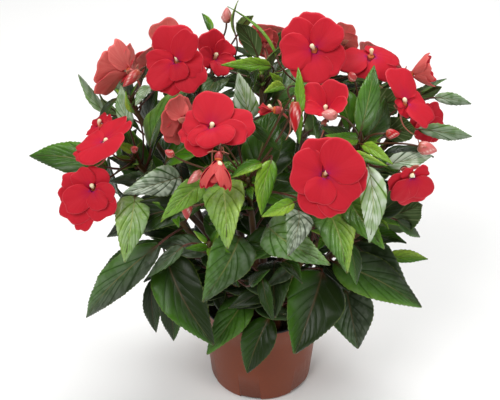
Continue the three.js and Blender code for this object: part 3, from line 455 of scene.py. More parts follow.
def peat():
    material, tree = start_material("peat, moist crumbs")
    crumbs = add(tree, "ShaderNodeTexNoise", {"Scale": 1 / (LUMP_MM * MM), "Detail": 6.0, "Roughness": 0.7})
    colour = add(tree, "ShaderNodeMixRGB", {"Fac": crumbs.outputs["Fac"], "Color1": linear("#140d09"),
                                            "Color2": linear("#4a3526")})
    bump = add(tree, "ShaderNodeBump", {"Height": crumbs.outputs["Fac"], "Strength": 0.9,
                                        "Distance": 1.5 * MM})
    rough = add(tree, "ShaderNodeBsdfPrincipled", {"Base Color": colour, "Roughness": 0.95, "Normal": bump})
    finish_material(tree, rough)
    return material


TERRACOTTA = moulded_plastic("polypropylene, terracotta, moulded", "#834127", "#74361e", 0.4)
BLACK_PLASTIC = moulded_plastic("polypropylene, black, moulded", "#1b1b1d", "#121213", 0.4)
PEAT = peat()
print("made", TERRACOTTA.name, BLACK_PLASTIC.name, PEAT.name)

# %% [markdown]
# Everything that grows here is either a thin sheet or a round stalk. Both could be made by hand with
# bmesh, one face at a time, but there are thousands of rows, so they are gathered as arrays and turned
# into a mesh at once. A sheet gets an upper and a lower face and a narrow rim between them, so that it is
# a closed body. The rim stays flat shaded: smooth shading would bend the light on the whole edge of the
# leaf.


# %% Gather sheets and stalks
def put_in_scene(name, data):
    """A new object in the scene, for a mesh, a light or a camera."""
    thing = bpy.data.objects.new(name, data)
    bpy.context.scene.collection.objects.link(thing)
    return thing


class Tissue:
    """Gathers points, faces and the numbers stored at each point, and makes one object of them."""

    def __init__(self, materials):
        self.materials = materials
        self.points, self.growth, self.finish = [], [], []
        self.faces, self.slots, self.smooth = [], [], []
        self.count = 0

    def take(self, points, growth, finish):
        """Stores points with their numbers and returns the first one's index."""
        first = self.count
        self.points.append(points.reshape(-1, 3))
        self.growth.append(np.broadcast_to(growth, points.shape).reshape(-1, 3))
        self.finish.append(np.broadcast_to(finish, points.shape).reshape(-1, 3))
        self.count += self.points[-1].shape[0]
        return first

    def cover(self, faces, material, smooth=True):
        rows = faces.tolist()
        self.faces.extend(rows)
        self.slots.extend([self.materials.index(material)] * len(rows))
        self.smooth.extend([smooth] * len(rows))

    def sheet(self, grid, thickness, growth, front, back, finish=(0, 0, 0)):
        """A thin closed sheet round a grid of points; its front looks along rows x columns."""
        normal = np.cross(np.gradient(grid, axis=0), np.gradient(grid, axis=1))
        normal /= np.linalg.norm(normal, axis=2, keepdims=True) + 1e-9
        rows, columns = grid.shape[:2]
        index = np.arange(rows * columns).reshape(rows, columns)
        corners = [index[:-1, :-1], index[1:, :-1], index[1:, 1:], index[:-1, 1:]]
        quads = np.stack(corners, -1).reshape(-1, 4)
        loop = np.concatenate([index[:, 0], index[-1, 1:], index[-2::-1, -1], index[0, -2:0:-1]])
        after = np.roll(loop, -1)
        upper = self.take(grid + normal * thickness / 2, growth, finish)
        lower = self.take(grid - normal * thickness / 2, growth, finish)
        self.cover(quads + upper, front)
        self.cover(quads[:, ::-1] + lower, back)
        rim = np.stack([after + upper, loop + upper, loop + lower, after + lower], -1)
        self.cover(rim, front, smooth=False)

    def stalk(self, line, radii, sides, growth, material):
        """A round stalk along a line of points, closed at both ends."""
        line = np.asarray(line, float)
        along = np.gradient(line, axis=0)
        along /= np.linalg.norm(along, axis=1, keepdims=True)
        across = np.array([1.0, 0, 0]) if abs(along[0][2]) > 0.8 else UP
        angles = np.arange(sides) * TURN / sides
        rings = []
        for place, way, radius in zip(line, along, radii):
            across = across - way * (across @ way)
            across = across / np.linalg.norm(across)
            other = np.cross(way, across)
            ring = np.outer(np.cos(angles), across) + np.outer(np.sin(angles), other)
            rings.append(place + radius * ring)
        rings = np.array(rings)
        first = self.take(rings, growth, (0, 0, 0))
        index = np.arange(len(line) * sides).reshape(-1, sides) + first
        after = np.roll(index, -1, axis=1)
        quads = np.stack([index[:-1], after[:-1], after[1:], index[1:]], -1).reshape(-1, 4)
        self.cover(quads, material)
        self.cover(index[:1, ::-1], material)
        self.cover(index[-1:], material)

    def make(self, name, slot, *nodes):
        """One object, in metres, that stands for the CAD nodes and rides on the part's only body."""
        mesh = bpy.data.meshes.new(name)
        points = np.concatenate(self.points) * MM
        mesh.from_pydata(points, [], self.faces)
        mesh.polygons.foreach_set("material_index", self.slots)
        mesh.polygons.foreach_set("use_smooth", self.smooth)
        for kept, values in (("growth", self.growth), ("finish", self.finish)):
            attribute = mesh.attributes.new(kept, "FLOAT_VECTOR", "POINT")
            attribute.data.foreach_set("vector", np.concatenate(values).astype(np.float32).ravel())
        for material in self.materials:
            mesh.materials.append(material)
        mesh.update()
        piece = put_in_scene(name, mesh)
        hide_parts(*nodes)
        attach(piece, "root")
        return piece


def unit(vector):
    return vector / np.linalg.norm(vector)


def triples(first, second, third):
    """Three numbers for each point of a grid, each given for all points or only for its rows or columns."""
    return np.stack(np.broadcast_arrays(first, second, third), -1)


def bezier(controls, share):
    """Points of a curve at the given shares, by mixing its control points pair by pair."""
    share = np.asarray(share, float)[..., None]
    rows = [np.asarray(c, float) for c in controls]
    while len(rows) > 1:
        rows = [a * (1 - share) + b * share for a, b in zip(rows, rows[1:])]
    return rows[0]


def between(ends, share):
    return ends[0] + (ends[1] - ends[0]) * share


print("half way along a test curve:", bezier([(0, 0, 0), (0, 0, 2), (2, 0, 2)], 0.5))

# %% [markdown]
# Fifteen stems come out of the soil close together, rise almost straight and then lean outward, as on a
# plant that was pinched when young. Each is one cubic curve from its foot in the soil to its tip whorl.
# The joints where leaves come out are slightly swollen.

# %% Stems
SOIL_LEVEL = 84
HOLE_DEPTH = 14
STEM_FOOT_RADIUS = 4.2
STEM_TIP_RADIUS = 1.9
PETIOLE_RADIUS = 1.05
PEDICEL_RADIUS = 0.85
MEETING_GAP = 0.35
STEM_POINTS = 30
STEM_SIDES = 10
JOINTS = 7
JOINT_SWELLING = 0.12

# Each stem's foot in the soil and the place of its tip whorl.
STEMS = {
    "front": ((-4, -20), (-13, -100, 300)),
    "low_front_left": ((-16, -36), (-45, -112, 244)),
    "low_front_right": ((14, -38), (52, -108, 252)),
    "left_front": ((-34, -20), (-76, -90, 262)),
    "right_front": ((36, -22), (98, -82, 250)),
    "right": ((22, -8), (85, -52, 306)),
    "left": ((-24, -3), (-112, -46, 286)),
    "crown": ((2, 2), (-1, 4, 338)),
    "far_left": ((-38, 8), (-120, 14, 312)),
    "far_right": ((40, 4), (134, 20, 296)),
    "top_left": ((-14, 17), (-60, 18, 322)),
    "top_right": ((18, 17), (50, 24, 326)),
    "back_left": ((-27, 31), (-82, 98, 276)),
    "back": ((0, 40), (6, 112, 296)),
    "back_right": ((29, 31), (94, 94, 282)),
}


def stem_controls(stem):
    """The four points that draw a stem: up out of the soil, then leaning to its tip."""
    foot, tip = STEMS[stem]
    start = np.array([*foot, SOIL_LEVEL], float)
    end = np.array(tip, float)
    rise = end - start
    return [start, start + rise * (0.04, 0.04, 0.42), start + rise * (0.62, 0.62, 0.7), end]


def nearest_share(controls, target, lowest):
    """The share along a stem of its point nearest to a target."""
    shares = lowest + (0.98 - lowest) * np.arange(41) / 40
    gaps = np.linalg.norm(bezier(controls, shares) - target, axis=1)
    return shares[int(np.argmin(gaps))]


def grow_stem(tissue, stem):
    controls = stem_controls(stem)
    shares = np.linspace(0, 1, STEM_POINTS)
    foot = controls[0] * (1, 1, 0) + UP * (SOIL_LEVEL - HOLE_DEPTH + MEETING_GAP)
    line = np.vstack([foot, bezier(controls, shares)])
    slim = between((STEM_FOOT_RADIUS, STEM_TIP_RADIUS), shares)
    swollen = slim * (1 + JOINT_SWELLING * np.cos(shares * JOINTS * TURN) ** 8)
    radii = np.concatenate([[STEM_FOOT_RADIUS], swollen])
    red = between((0.9, 0.6), np.concatenate([[0], shares]))
    tissue.stalk(line, radii, STEM_SIDES, triples(0.0, red[:, None], 0.0), STEM_SKIN)


print("stems:", len(STEMS))

# %% [markdown]
# A blade is drawn from two points, where its stalk meets it and where it ends, and from its width. The
# outline is a formula: broad below the middle and drawn out to a fine tip. The two halves rise a little
# from the midrib, and the midrib itself bows upward. `Blade` holds that frame, and everything on the leaf
# is placed in it.


# %% Blades
BLADE_FOLD = 0.2


def blade_outline(along):
    """Half the blade's width at a share of its length, where 1 is the widest."""
    return np.sin(np.pi * along ** 0.7).clip(0) ** 0.8 * (1 - 0.25 * along ** 3)


class Blade:
    """The blade's own frame: its midrib, its side direction and its upper side."""

    def __init__(self, row):
        self.row = row
        self.start = np.array(row["foot"], float)
        self.chord = np.array(row["tip"], float) - self.start
        self.length = np.linalg.norm(self.chord)
        along = self.chord / self.length
        middle = self.start + self.chord * 0.5
        outward = unit(middle * (1, 1, 0))
        above = UP * 0.6 + outward * 0.5
        above = unit(above - along * (above @ along))
        turn = math.radians(row["roll"])
        self.above = above * math.cos(turn) + np.cross(along, above) * math.sin(turn)
        self.side = np.cross(self.above, along)

    def midrib(self, along):
        """Points of the midrib at shares of its length."""
        along = np.asarray(along, float)
        bow = self.row["arch"] * self.length * np.sin(np.pi * along ** 0.8)
        return self.start + self.chord * along[..., None] + self.above * bow[..., None]

    def point(self, along, across):
        """Points of the plain blade; across runs from -1 on one edge to 1 on the other."""
        along, across = np.broadcast_arrays(np.asarray(along, float), np.asarray(across, float))
        half = self.row["width"] / 2 * blade_outline(along)
        place = self.midrib(along) + self.side * (across * half)[..., None]
        return place + self.above * (np.abs(across) * half * BLADE_FOLD)[..., None]


def petiole_controls(row):
    """The leaf's stalk, from the middle of the stem to the foot of the blade."""
    controls = stem_controls(row["stem"])
    blade = Blade(row)
    foot = blade.midrib(0)
    near = bezier(controls, max(0.12, nearest_share(controls, foot, 0.15) - 0.05))
    lead = unit(blade.midrib(0.1) - foot)
    return [near, foot - lead * (0.4 * np.linalg.norm(near - foot)), foot]


print("widest at", round(float(np.argmax(blade_outline(np.linspace(0, 1, 101))) / 100), 2), "of the length")

# %% [markdown]
# The fine leaf adds what makes it a leaf of this plant: small teeth along the edge, each pointing to the
# tip, a quilted surface that is sunk at every side vein, and a slow ripple of the margin. A plain grid
# would cut across the veins and make them ragged, so the rows of the mesh run along the veins instead:
# each starts at the midrib and sweeps forward to the edge. The stalk runs on under the blade as its
# midrib.

# %% Grow one leaf
FINE, MIDDLING, COARSE = 1, 1.3, 2.4
ROW_MM = 1.1
FEWEST_ROWS = 14
MIDRIB_SLACK = 1.15
WIDE_LEAF_MM = 15
WIDE_COLUMNS = 17
NARROW_COLUMNS = 9
VEIN_POWER = 1.45
VEIN_SWEEP = 5.4
LEAF_FOLD = 0.34
TOOTH_MM = 3.9
TOOTH_DEPTH = 0.55
TIP_HALF_WIDTH = 0.4
TOOTH_HALF_WIDTH = 0.45
USUAL_WIDTH = 34
QUILT_MM = 1.25
RIPPLE_MM = 34
RIPPLE_HEIGHT = 2.1
EDGE_CURL = 0.06
TWIST = 0.1
TIP_NOD = 2.5
SIDE_BOW = 0.045
BLADE_THICKNESS = 0.5
STALK_POINTS = 9
RIB_POINTS = 10
RIB_SIDES = 7
RIB_SUNK = 0.35
PHASE_STEP = 2.4


def vein_phase(vein, across):
    """The bands of the leaf's material, for the mesh: 0 on a vein, 1 half way to the next."""
    band = vein * 2 * VEINS_PER_SIDE + VEIN_OFFSET * (across > 0)
    return 1 - np.abs(np.mod(band, 2) - 1)


def side_bow(blade, along, phase):
    """How far the midrib swings aside, so that no leaf is quite straight."""
    return SIDE_BOW * blade.length * math.sin(phase) * np.sin(np.pi * along)


def grow_blade(tissue, row, blade, phase, coarseness):
    """The blade: its outline with teeth, then how far each habit of the leaf lifts it off its plane."""
    rows = max(FEWEST_ROWS, round(blade.length * MIDRIB_SLACK / (ROW_MM * coarseness)))
    columns = WIDE_COLUMNS if row["width"] > WIDE_LEAF_MM and coarseness < COARSE else NARROW_COLUMNS
    vein = np.linspace(0, 1, rows)[:, None] ** VEIN_POWER
    across = np.sin(np.linspace(-1, 1, columns) * math.pi / 2.3)[None, :]
    across = across / across.max()
    outward = np.abs(across)
    sweep = VEIN_SWEEP * outward ** 1.4
    along = 0.004 + 0.992 * vein * (1 + sweep) / (1 + sweep * vein)
    half = row["width"] / 2 * blade_outline(along)
    tooth = np.mod(along * blade.length / TOOTH_MM, 1) - 0.5
    toothed = np.maximum(half + tooth * TOOTH_DEPTH * 2 * np.minimum(1, half / 6), TOOTH_HALF_WIDTH)
    half = np.where(outward > 0.99, toothed, np.maximum(half, TIP_HALF_WIDTH))
    size = min(1.0, row["width"] / USUAL_WIDTH)
    puffed = QUILT_MM * size * (1.25 - 0.75 * min(row["age"], 1))
    quilt = puffed * np.sin(np.pi / 2 * vein_phase(vein, across)) ** 0.6
    quilt = quilt * (1 - outward ** 6) * np.sin(np.pi * along) ** 0.5 * np.minimum(1, outward * 5)
    wave = np.sin(TURN * along * blade.length / RIPPLE_MM + phase + 2 * (across > 0))
    ripple = RIPPLE_HEIGHT * size * wave * outward ** 2 * np.sin(np.pi * along)
    curl = -EDGE_CURL * row["width"] * outward ** 4
    twist = TWIST * half * across * math.sin(phase * 1.7) * (2 * along - 1)
    nod = -TIP_NOD * size * along ** 6
    lift = outward * half * LEAF_FOLD + quilt + ripple + curl + twist + nod
    sideways = across * half + side_bow(blade, along, phase)
    grid = blade.midrib(along) + blade.side * sideways[..., None] + blade.above * lift[..., None]
    redness = np.clip(1 - along * 9, 0, 1) * (outward < 0.3)
    # lit_half is painted light and shade: how much lighter one half of the blade is painted than the other.
    lit_half = 0.3 * math.sin(2.1 * phase) if row["half"] is None else row["half"]
    finish = triples(row["pale"], redness, lit_half)
    tissue.sheet(grid, BLADE_THICKNESS, triples(vein, across, row["age"]), LEAF_UPPER, LEAF_LOWER, finish)


def grow_petiole(tissue, row, blade, phase):
    """The leaf's stalk, which runs on under the blade as its midrib."""
    stalk = bezier(petiole_controls(row), np.linspace(0, 1, STALK_POINTS))
    under = np.linspace(0.05, 0.9, RIB_POINTS)
    rib = blade.midrib(under) - blade.above * RIB_SUNK + blade.side * side_bow(blade, under, phase)[:, None]
    thick = PETIOLE_RADIUS * min(1.0, 0.6 + row["width"] / 60)
    radii = np.concatenate([np.full(STALK_POINTS, thick), between((0.9, 0.25), under)])
    red = np.concatenate([np.full(STALK_POINTS, 0.95), between((0.6, 0.0), under)])
    tissue.stalk(np.vstack([stalk, rib]), radii, RIB_SIDES, triples(0.0, red[:, None], 0.0), STEM_SKIN)


def grow_leaf(tissue, row, number, coarseness):
    blade = Blade(row)
    phase = number * PHASE_STEP
    grow_blade(tissue, row, blade, phase, coarseness)
    grow_petiole(tissue, row, blade, phase)


print("rows of mesh on a leaf of 80 mm:", round(80 * MIDRIB_SLACK / ROW_MM))

# %% [markdown]
# The leaves that show in a view of the plant's best side are placed one by one: the stem each grows on,
# the foot and tip of its blade, its width, then how far it bows and rolls, its age from 0 (just unfolded,
# light green) to 1 (old, dark green), how much painted highlight lies on its wax, and how much lighter
# one half is painted than the other, as painted light and shade. A few dark ones stand behind and are
# only seen through gaps.


# %% Leaves that show
def leaf(stem, foot, tip, width, arch=0.1, roll=0, age=0.8, pale=0.0, half=None):
    return {"stem": stem, "foot": foot, "tip": tip, "width": width, "arch": arch, "roll": roll, "age": age,
            "pale": pale, "half": half}


LEAVES = [
    leaf("front", (-50, -106, 299), (-79, -145, 293), 20, roll=-25, age=0.3, pale=0.07),
    leaf("front", (-33, -92, 291), (-29, -168, 284), 34, age=0.18, pale=0.16, half=0.08),
    leaf("front", (6, -105, 321), (-2, -135, 289), 16, age=0.3),
    leaf("front", (23, -138, 303), (-2, -152, 300), 12, age=0.2),
    leaf("front", (-2, -108, 320), (-26, -128, 320), 11, age=0.4),
    leaf("front", (-15, -75, 339), (13, -92, 322), 11, age=0.8),
    leaf("low_front_left", (-20, -92, 236), (-48, -160, 224), 38, roll=-15, age=0.69, pale=0.1, half=-0.18),
    leaf("low_front_left", (-87, -62, 196), (-43, -120, 138), 44, roll=-10, age=0.98, half=-0.42),
    leaf("low_front_left", (-66, -115, 243), (-96, -128, 221), 12, roll=-15, age=0.9, pale=0.1),
    leaf("low_front_left", (-14, -45, 130), (-50, -98, 108), 31, roll=-15, age=0.55, pale=0.05, half=0.1),
    leaf("low_front_left", (-1, -108, 204), (9, -128, 174), 12, age=0.9),
    leaf("low_front_left", (-11, -108, 196), (5, -112, 216), 10, age=0.9),
    leaf("low_front_right", (7, -62, 120), (-14, -88, 73), 32, age=0.95),
    leaf("low_front_right", (54, -62, 174), (29, -125, 133), 55, age=1, half=-0.4),
    leaf("low_front_right", (53, -92, 261), (64, -165, 258), 32, roll=25, age=0.35, pale=0.09),
    leaf("low_front_right", (4, -86, 243), (50, -155, 257), 34, roll=20, age=0.45, pale=0.25),
    leaf("low_front_right", (28, -112, 276), (19, -168, 276), 23, age=0.85, pale=0.6),
    leaf("low_front_right", (70, -118, 249), (78, -125, 210), 13, roll=20, age=0.7),
    leaf("low_front_right", (11, -62, 185), (11, -122, 174), 32, age=1, pale=0.03),
    leaf("low_front_right", (17, -101, 216), (32, -130, 217), 13, age=1),
    leaf("left_front", (-88, -92, 228), (-158, -95, 147), 30, roll=-40, age=0.82, pale=0.1, half=-0.25),
    leaf("left_front", (-90, -72, 214), (-148, -70, 174), 23, roll=-35, age=1),
    leaf("left_front", (-70, -65, 278), (-111, -112, 295), 26, roll=-50, age=0.85, pale=0.7),
    leaf("left_front", (-52, -88, 266), (-137, -70, 219), 28, roll=-25, age=1),
    leaf("left_front", (-86, -80, 173), (-81, -88, 113), 20, roll=-35, age=1),
    leaf("left_front", (-99, -70, 171), (-98, -75, 112), 16, roll=-45, age=1),
    leaf("right_front", (80, -32, 130), (91, -72, 90), 44, roll=35, age=0.95, pale=0.12),
    leaf("right_front", (64, -60, 184), (141, -95, 160), 38, roll=40, age=0.72, pale=0.05, half=-0.34),
    leaf("right_front", (82, -39, 191), (129, -75, 170), 40, roll=45, age=1, pale=0.07),
    leaf("right_front", (114, -35, 169), (155, -30, 164), 13, roll=25, age=0.25),
    leaf("right_front", (98, -45, 215), (136, -78, 260), 38, roll=-50, age=0.9),
    leaf("right_front", (116, -62, 232), (140, -58, 210), 11, roll=35, age=0.8, pale=0.07),
    leaf("right", (82, -110, 318), (82, -154, 276), 22, roll=20, age=0.3, pale=1, half=0),
    leaf("right", (71, -93, 274), (94, -148, 267), 24, roll=35, age=0.45, pale=0.03),
    leaf("right", (80, -62, 321), (93, -20, 361), 20, roll=-30, age=0.58, pale=0.05, half=0.12),
    leaf("right", (92, -2, 311), (117, -30, 335), 26, roll=-45, age=0.8, pale=0.5),
    leaf("right", (102, -74, 296), (141, -64, 300), 16, age=0.7, pale=0.8),
    leaf("right", (101, -15, 293), (129, -48, 316), 24, roll=-50, age=0.9, pale=0.03),
    leaf("right", (80, -85, 323), (101, -112, 322), 10, roll=35, age=0.2),
    leaf("right", (69, -92, 319), (97, -112, 320), 8, roll=20, age=0.3),
    leaf("right", (77, -70, 319), (49, -95, 338), 11, roll=-15, age=0.4),
    leaf("left", (-134, -42, 273), (-204, -30, 278), 29, roll=-30, age=0.62, pale=0.03),
    leaf("left", (-109, -67, 260), (-113, -130, 240), 29, roll=-35, age=0.26, pale=0.34, half=-0.1),
    leaf("left", (-113, -37, 308), (-122, -7, 335), 14, roll=30, age=0.5, pale=0.5),
    leaf("left", (-109, -33, 322), (-115, -34, 343), 8, roll=30, age=0.2),
    leaf("left", (-110, -49, 294), (-125, -55, 308), 8, roll=-45, age=0.1),
    leaf("crown", (-11, -17, 308), (-21, -25, 355), 22, roll=30, age=0.35, pale=0.9),
    leaf("top_left", (-24, 45, 357), (-22, 62, 382), 7, age=0.3),
    leaf("top_right", (12, 15, 350), (-31, 68, 374), 6, age=0.3),
    leaf("top_left", (-22, 73, 344), (-8, 66, 366), 11, roll=-35, age=0.2),
    leaf("crown", (-4, 50, 333), (-23, 40, 372), 18, roll=15, age=0.9),
    leaf("crown", (7, 0, 349), (-35, -18, 360), 12, roll=-40, age=0.3),
    leaf("crown", (18, -17, 339), (1, -35, 343), 10, age=0.2),
    leaf("crown", (16, -8, 336), (6, -15, 351), 8, roll=-30, age=0.2),
    leaf("far_left", (-139, 0, 304), (-162, 15, 333), 11, age=0.6, pale=0.4),
    leaf("far_left", (-127, 0, 318), (-147, -10, 287), 9, roll=-25, age=0.9, pale=0.07),
    leaf("far_left", (-95, -9, 334), (-107, -38, 333), 14, roll=-30, age=0.6, pale=0.5),
    leaf("far_right", (143, 32, 306), (167, 42, 315), 7, age=0.7, pale=0.1),
    leaf("far_right", (136, 42, 293), (161, 27, 315), 14, roll=-35, age=0.7, pale=0.1),
    leaf("far_right", (153, 15, 310), (187, 17, 303), 12, roll=45, age=0.7, pale=0.4),
    leaf("right", (134, -26, 302), (186, -8, 284), 14, roll=35, age=0.6, pale=0.4),
    leaf("top_left", (-41, 17, 329), (-50, -38, 338), 24, roll=-50, age=0.8, pale=0.09),
    leaf("top_left", (-45, 52, 356), (-54, 68, 367), 7, age=0.5),
    leaf("top_right", (28, -65, 336), (29, -34, 366), 10, age=0.3),
    leaf("top_right", (22, -45, 343), (29, -80, 321), 11, age=0.5),
]
BACKGROUND = [
    leaf("top_left", (-105, 45, 265), (-95, 33, 312), 22, roll=75, age=0.9),
    leaf("far_left", (-130, 35, 282), (-147, 23, 312), 18, roll=75, age=0.85),
    leaf("left", (-125, 5, 209), (-140, -7, 261), 28, roll=60, age=0.9),
    leaf("left", (-125, 30, 248), (-115, 18, 275), 14, roll=75, age=0.85),
    leaf("top_right", (12, 50, 242), (32, 38, 274), 20, age=0.9),
    leaf("top_right", (35, 48, 244), (65, 36, 264), 15, age=0.9),
    leaf("crown", (-39, 50, 283), (-22, 38, 309), 16, age=0.9),
    leaf("far_right", (98, 38, 269), (118, 26, 288), 14, roll=-75, age=0.85),
    leaf("far_right", (102, 50, 296), (119, 38, 315), 12, roll=-75, age=0.9),
    leaf("far_right", (102, 10, 230), (118, -2, 251), 14, roll=-60, age=0.85),
]
print("leaves placed by hand:", len(LEAVES), "and", len(BACKGROUND), "behind")

# %% [markdown]
# Petals are placed by angle as one looks at the flower's face, with their reach from the throat, half
# their spread in degrees, and the layer they lie in, counted from the back. Two more numbers bend a
# petal: how far its root lifts it out of the flower's cone, and how far it curls along its length, both
# in degrees. A regular flower has five petals. The fullest ones on this plant have up to ten, in uneven
# layers, and those are listed one by one.


# %% Petals of each flower
def petal(angle, reach, spread, layer, lift=0, curl=-12):
    return {"angle": angle, "reach": reach, "spread": spread, "layer": layer, "lift": lift, "curl": curl}


def even(reach):
    """The five petals of a regular flower."""
    layers = (1, 0, 1, 0, 2)
    return [petal(18 + 72 * i, reach, 50, layer) for i, layer in enumerate(layers)]


CROWN_LEFT_PETALS = [
    petal(103, 32, 49, 1),
    petal(60, 34, 30, 3, 20),
    petal(183, 28, 29, 2),
    petal(227, 32, 30, 3),
    petal(256, 30, 34, 0),
    petal(318, 31, 40, 1),
    petal(356, 24, 44, 2),
    petal(290, 18, 44, 4),
]
CROWN_MIDDLE_PETALS = [
    petal(95, 27, 52, 0),
    petal(25, 22, 44, 1),
    petal(165, 22, 44, 1),
    petal(318, 20, 44, 2),
    petal(255, 22, 42, 2),
]
FAR_LEFT_PETALS = [
    petal(12, 31, 56, 2),
    petal(78, 31, 36, 1, 0, 30),
    petal(150, 26, 46, 0),
    petal(222, 27, 44, 0),
    petal(305, 36, 44, 1),
]
BEHIND_LEFT_PETALS = [
    petal(65, 26, 46, 1),
    petal(10, 18, 44, 0),
    petal(140, 14, 44, 0),
    petal(220, 16, 46, 1),
    petal(290, 18, 46, 0),
]
CENTRE_PETALS = [
    petal(86, 31, 46, 2),
    petal(163, 24, 42, 1),
    petal(196, 28, 24, 0),
    petal(217, 23, 28, 3),
    petal(232, 27, 36, 0),
    petal(290, 22, 66, 4, 10, -40),
    petal(8, 35, 34, 1),
    petal(345, 31, 30, 2),
]
LEFT_PETALS = [
    petal(152, 32, 36, 1),
    petal(246, 27, 42, 2),
    petal(288, 29, 42, 1),
    petal(88, 32, 28, 3, 0, 40),
    petal(5, 31, 60, 2, -10, -60),
]
LOW_LEFT_PETALS = [
    petal(348, 21, 38, 3),
    petal(78, 20, 50, 1),
    petal(135, 22, 40, 2),
    petal(167, 28, 28, 1),
    petal(199, 32, 26, 0),
    petal(215, 29, 36, 4),
    petal(232, 36, 34, 1),
    petal(255, 40, 18, 0),
    petal(299, 20, 40, 4),
    petal(300, 28, 44, 2),
]
HANGING_PETALS = [
    petal(140, 30, 44, 2, -4, 80),
    petal(40, 31, 44, 2, -4, 80),
    petal(90, 25, 44, 1, 0, 60),
    petal(215, 28, 46, 0, 0, 60),
    petal(325, 28, 46, 0, 0, 60),
]
CROWN_RIGHT_PETALS = [
    petal(47, 31, 38, 3),
    petal(92, 33, 38, 0),
    petal(136, 32, 40, 1),
    petal(186, 31, 44, 2),
    petal(258, 30, 52, 1),
    petal(328, 29, 44, 0),
]
BEHIND_RIGHT_PETALS = [
    petal(105, 19, 44, 1),
    petal(170, 16, 50, 0),
    petal(30, 15, 44, 0),
    petal(250, 15, 44, 1),
    petal(310, 15, 44, 0),
]
SHOULDER_PETALS = [
    petal(20, 31, 44, 1, 0, -30),
    petal(90, 22, 50, 0),
    petal(160, 30, 44, 1, 0, -30),
    petal(228, 22, 44, 0, -10, -40),
    petal(300, 27, 44, 2, -10, -40),
]
RIGHT_PETALS = [
    petal(60, 33, 50, 2),
    petal(272, 29, 46, 2),
    petal(336, 23, 46, 1),
    petal(8, 22, 40, 0),
    petal(150, 11, 40, 1, -15, -50),
    petal(215, 13, 44, 0, -15, -50),
]
FAR_RIGHT_PETALS = [
    petal(20, 20, 46, 0),
    petal(90, 16, 44, 1),
    petal(162, 18, 44, 0),
    petal(235, 21, 46, 2),
    petal(300, 22, 48, 1),
]
RIGHT_BEHIND_PETALS = [
    petal(18, 25, 50, 1, -8, 50),
    petal(90, 25, 50, 0, -8, 50),
    petal(162, 25, 50, 1, -8, 50),
    petal(234, 25, 50, 0, -8, 50),
    petal(306, 25, 50, 2, -8, 50),
]
LOW_RIGHT_PETALS = [
    petal(15, 15, 44, 1),
    petal(140, 12, 44, 1),
    petal(197, 22, 36, 0),
    petal(240, 26, 40, 2),
    petal(275, 30, 40, 1),
    petal(306, 27, 34, 2),
]
FRONT_PETALS = [
    petal(38, 33, 52, 4),
    petal(98, 31, 46, 1),
    petal(166, 28, 56, 2),
    petal(251, 25, 44, 3),
    petal(252, 34, 40, 0),
    petal(286, 34, 32, 1),
    petal(313, 33, 40, 2),
    petal(351, 34, 40, 0),
]
HALF_OPEN_PETALS = [
    petal(168, 31, 48, 1),
    petal(75, 29, 56, 0),
    petal(0, 28, 46, 1),
    petal(232, 26, 44, 2),
    petal(300, 22, 40, 2),
]
print("petals of the fullest flower:", len(LOW_LEFT_PETALS))

# %% [markdown]
# Each flower sits at the end of its own stalk, high on a stem. A row gives the stem, the throat's place,
# the way the flower faces, its petals, and how far they close up in degrees: 8 for an open flower, 60 for
# one that is only opening, and less than 0 where they fold back. A bud's row gives where its calyx is,
# the way it points, its length and its greatest width.

# %% Flowers and buds
def bloom(stem, at, facing, petals, cup=8):
    return {"stem": stem, "at": at, "facing": facing, "petals": petals, "cup": cup}


def bud(stem, at, facing, length, width):
    return {"stem": stem, "at": at, "facing": facing, "length": length, "width": width}


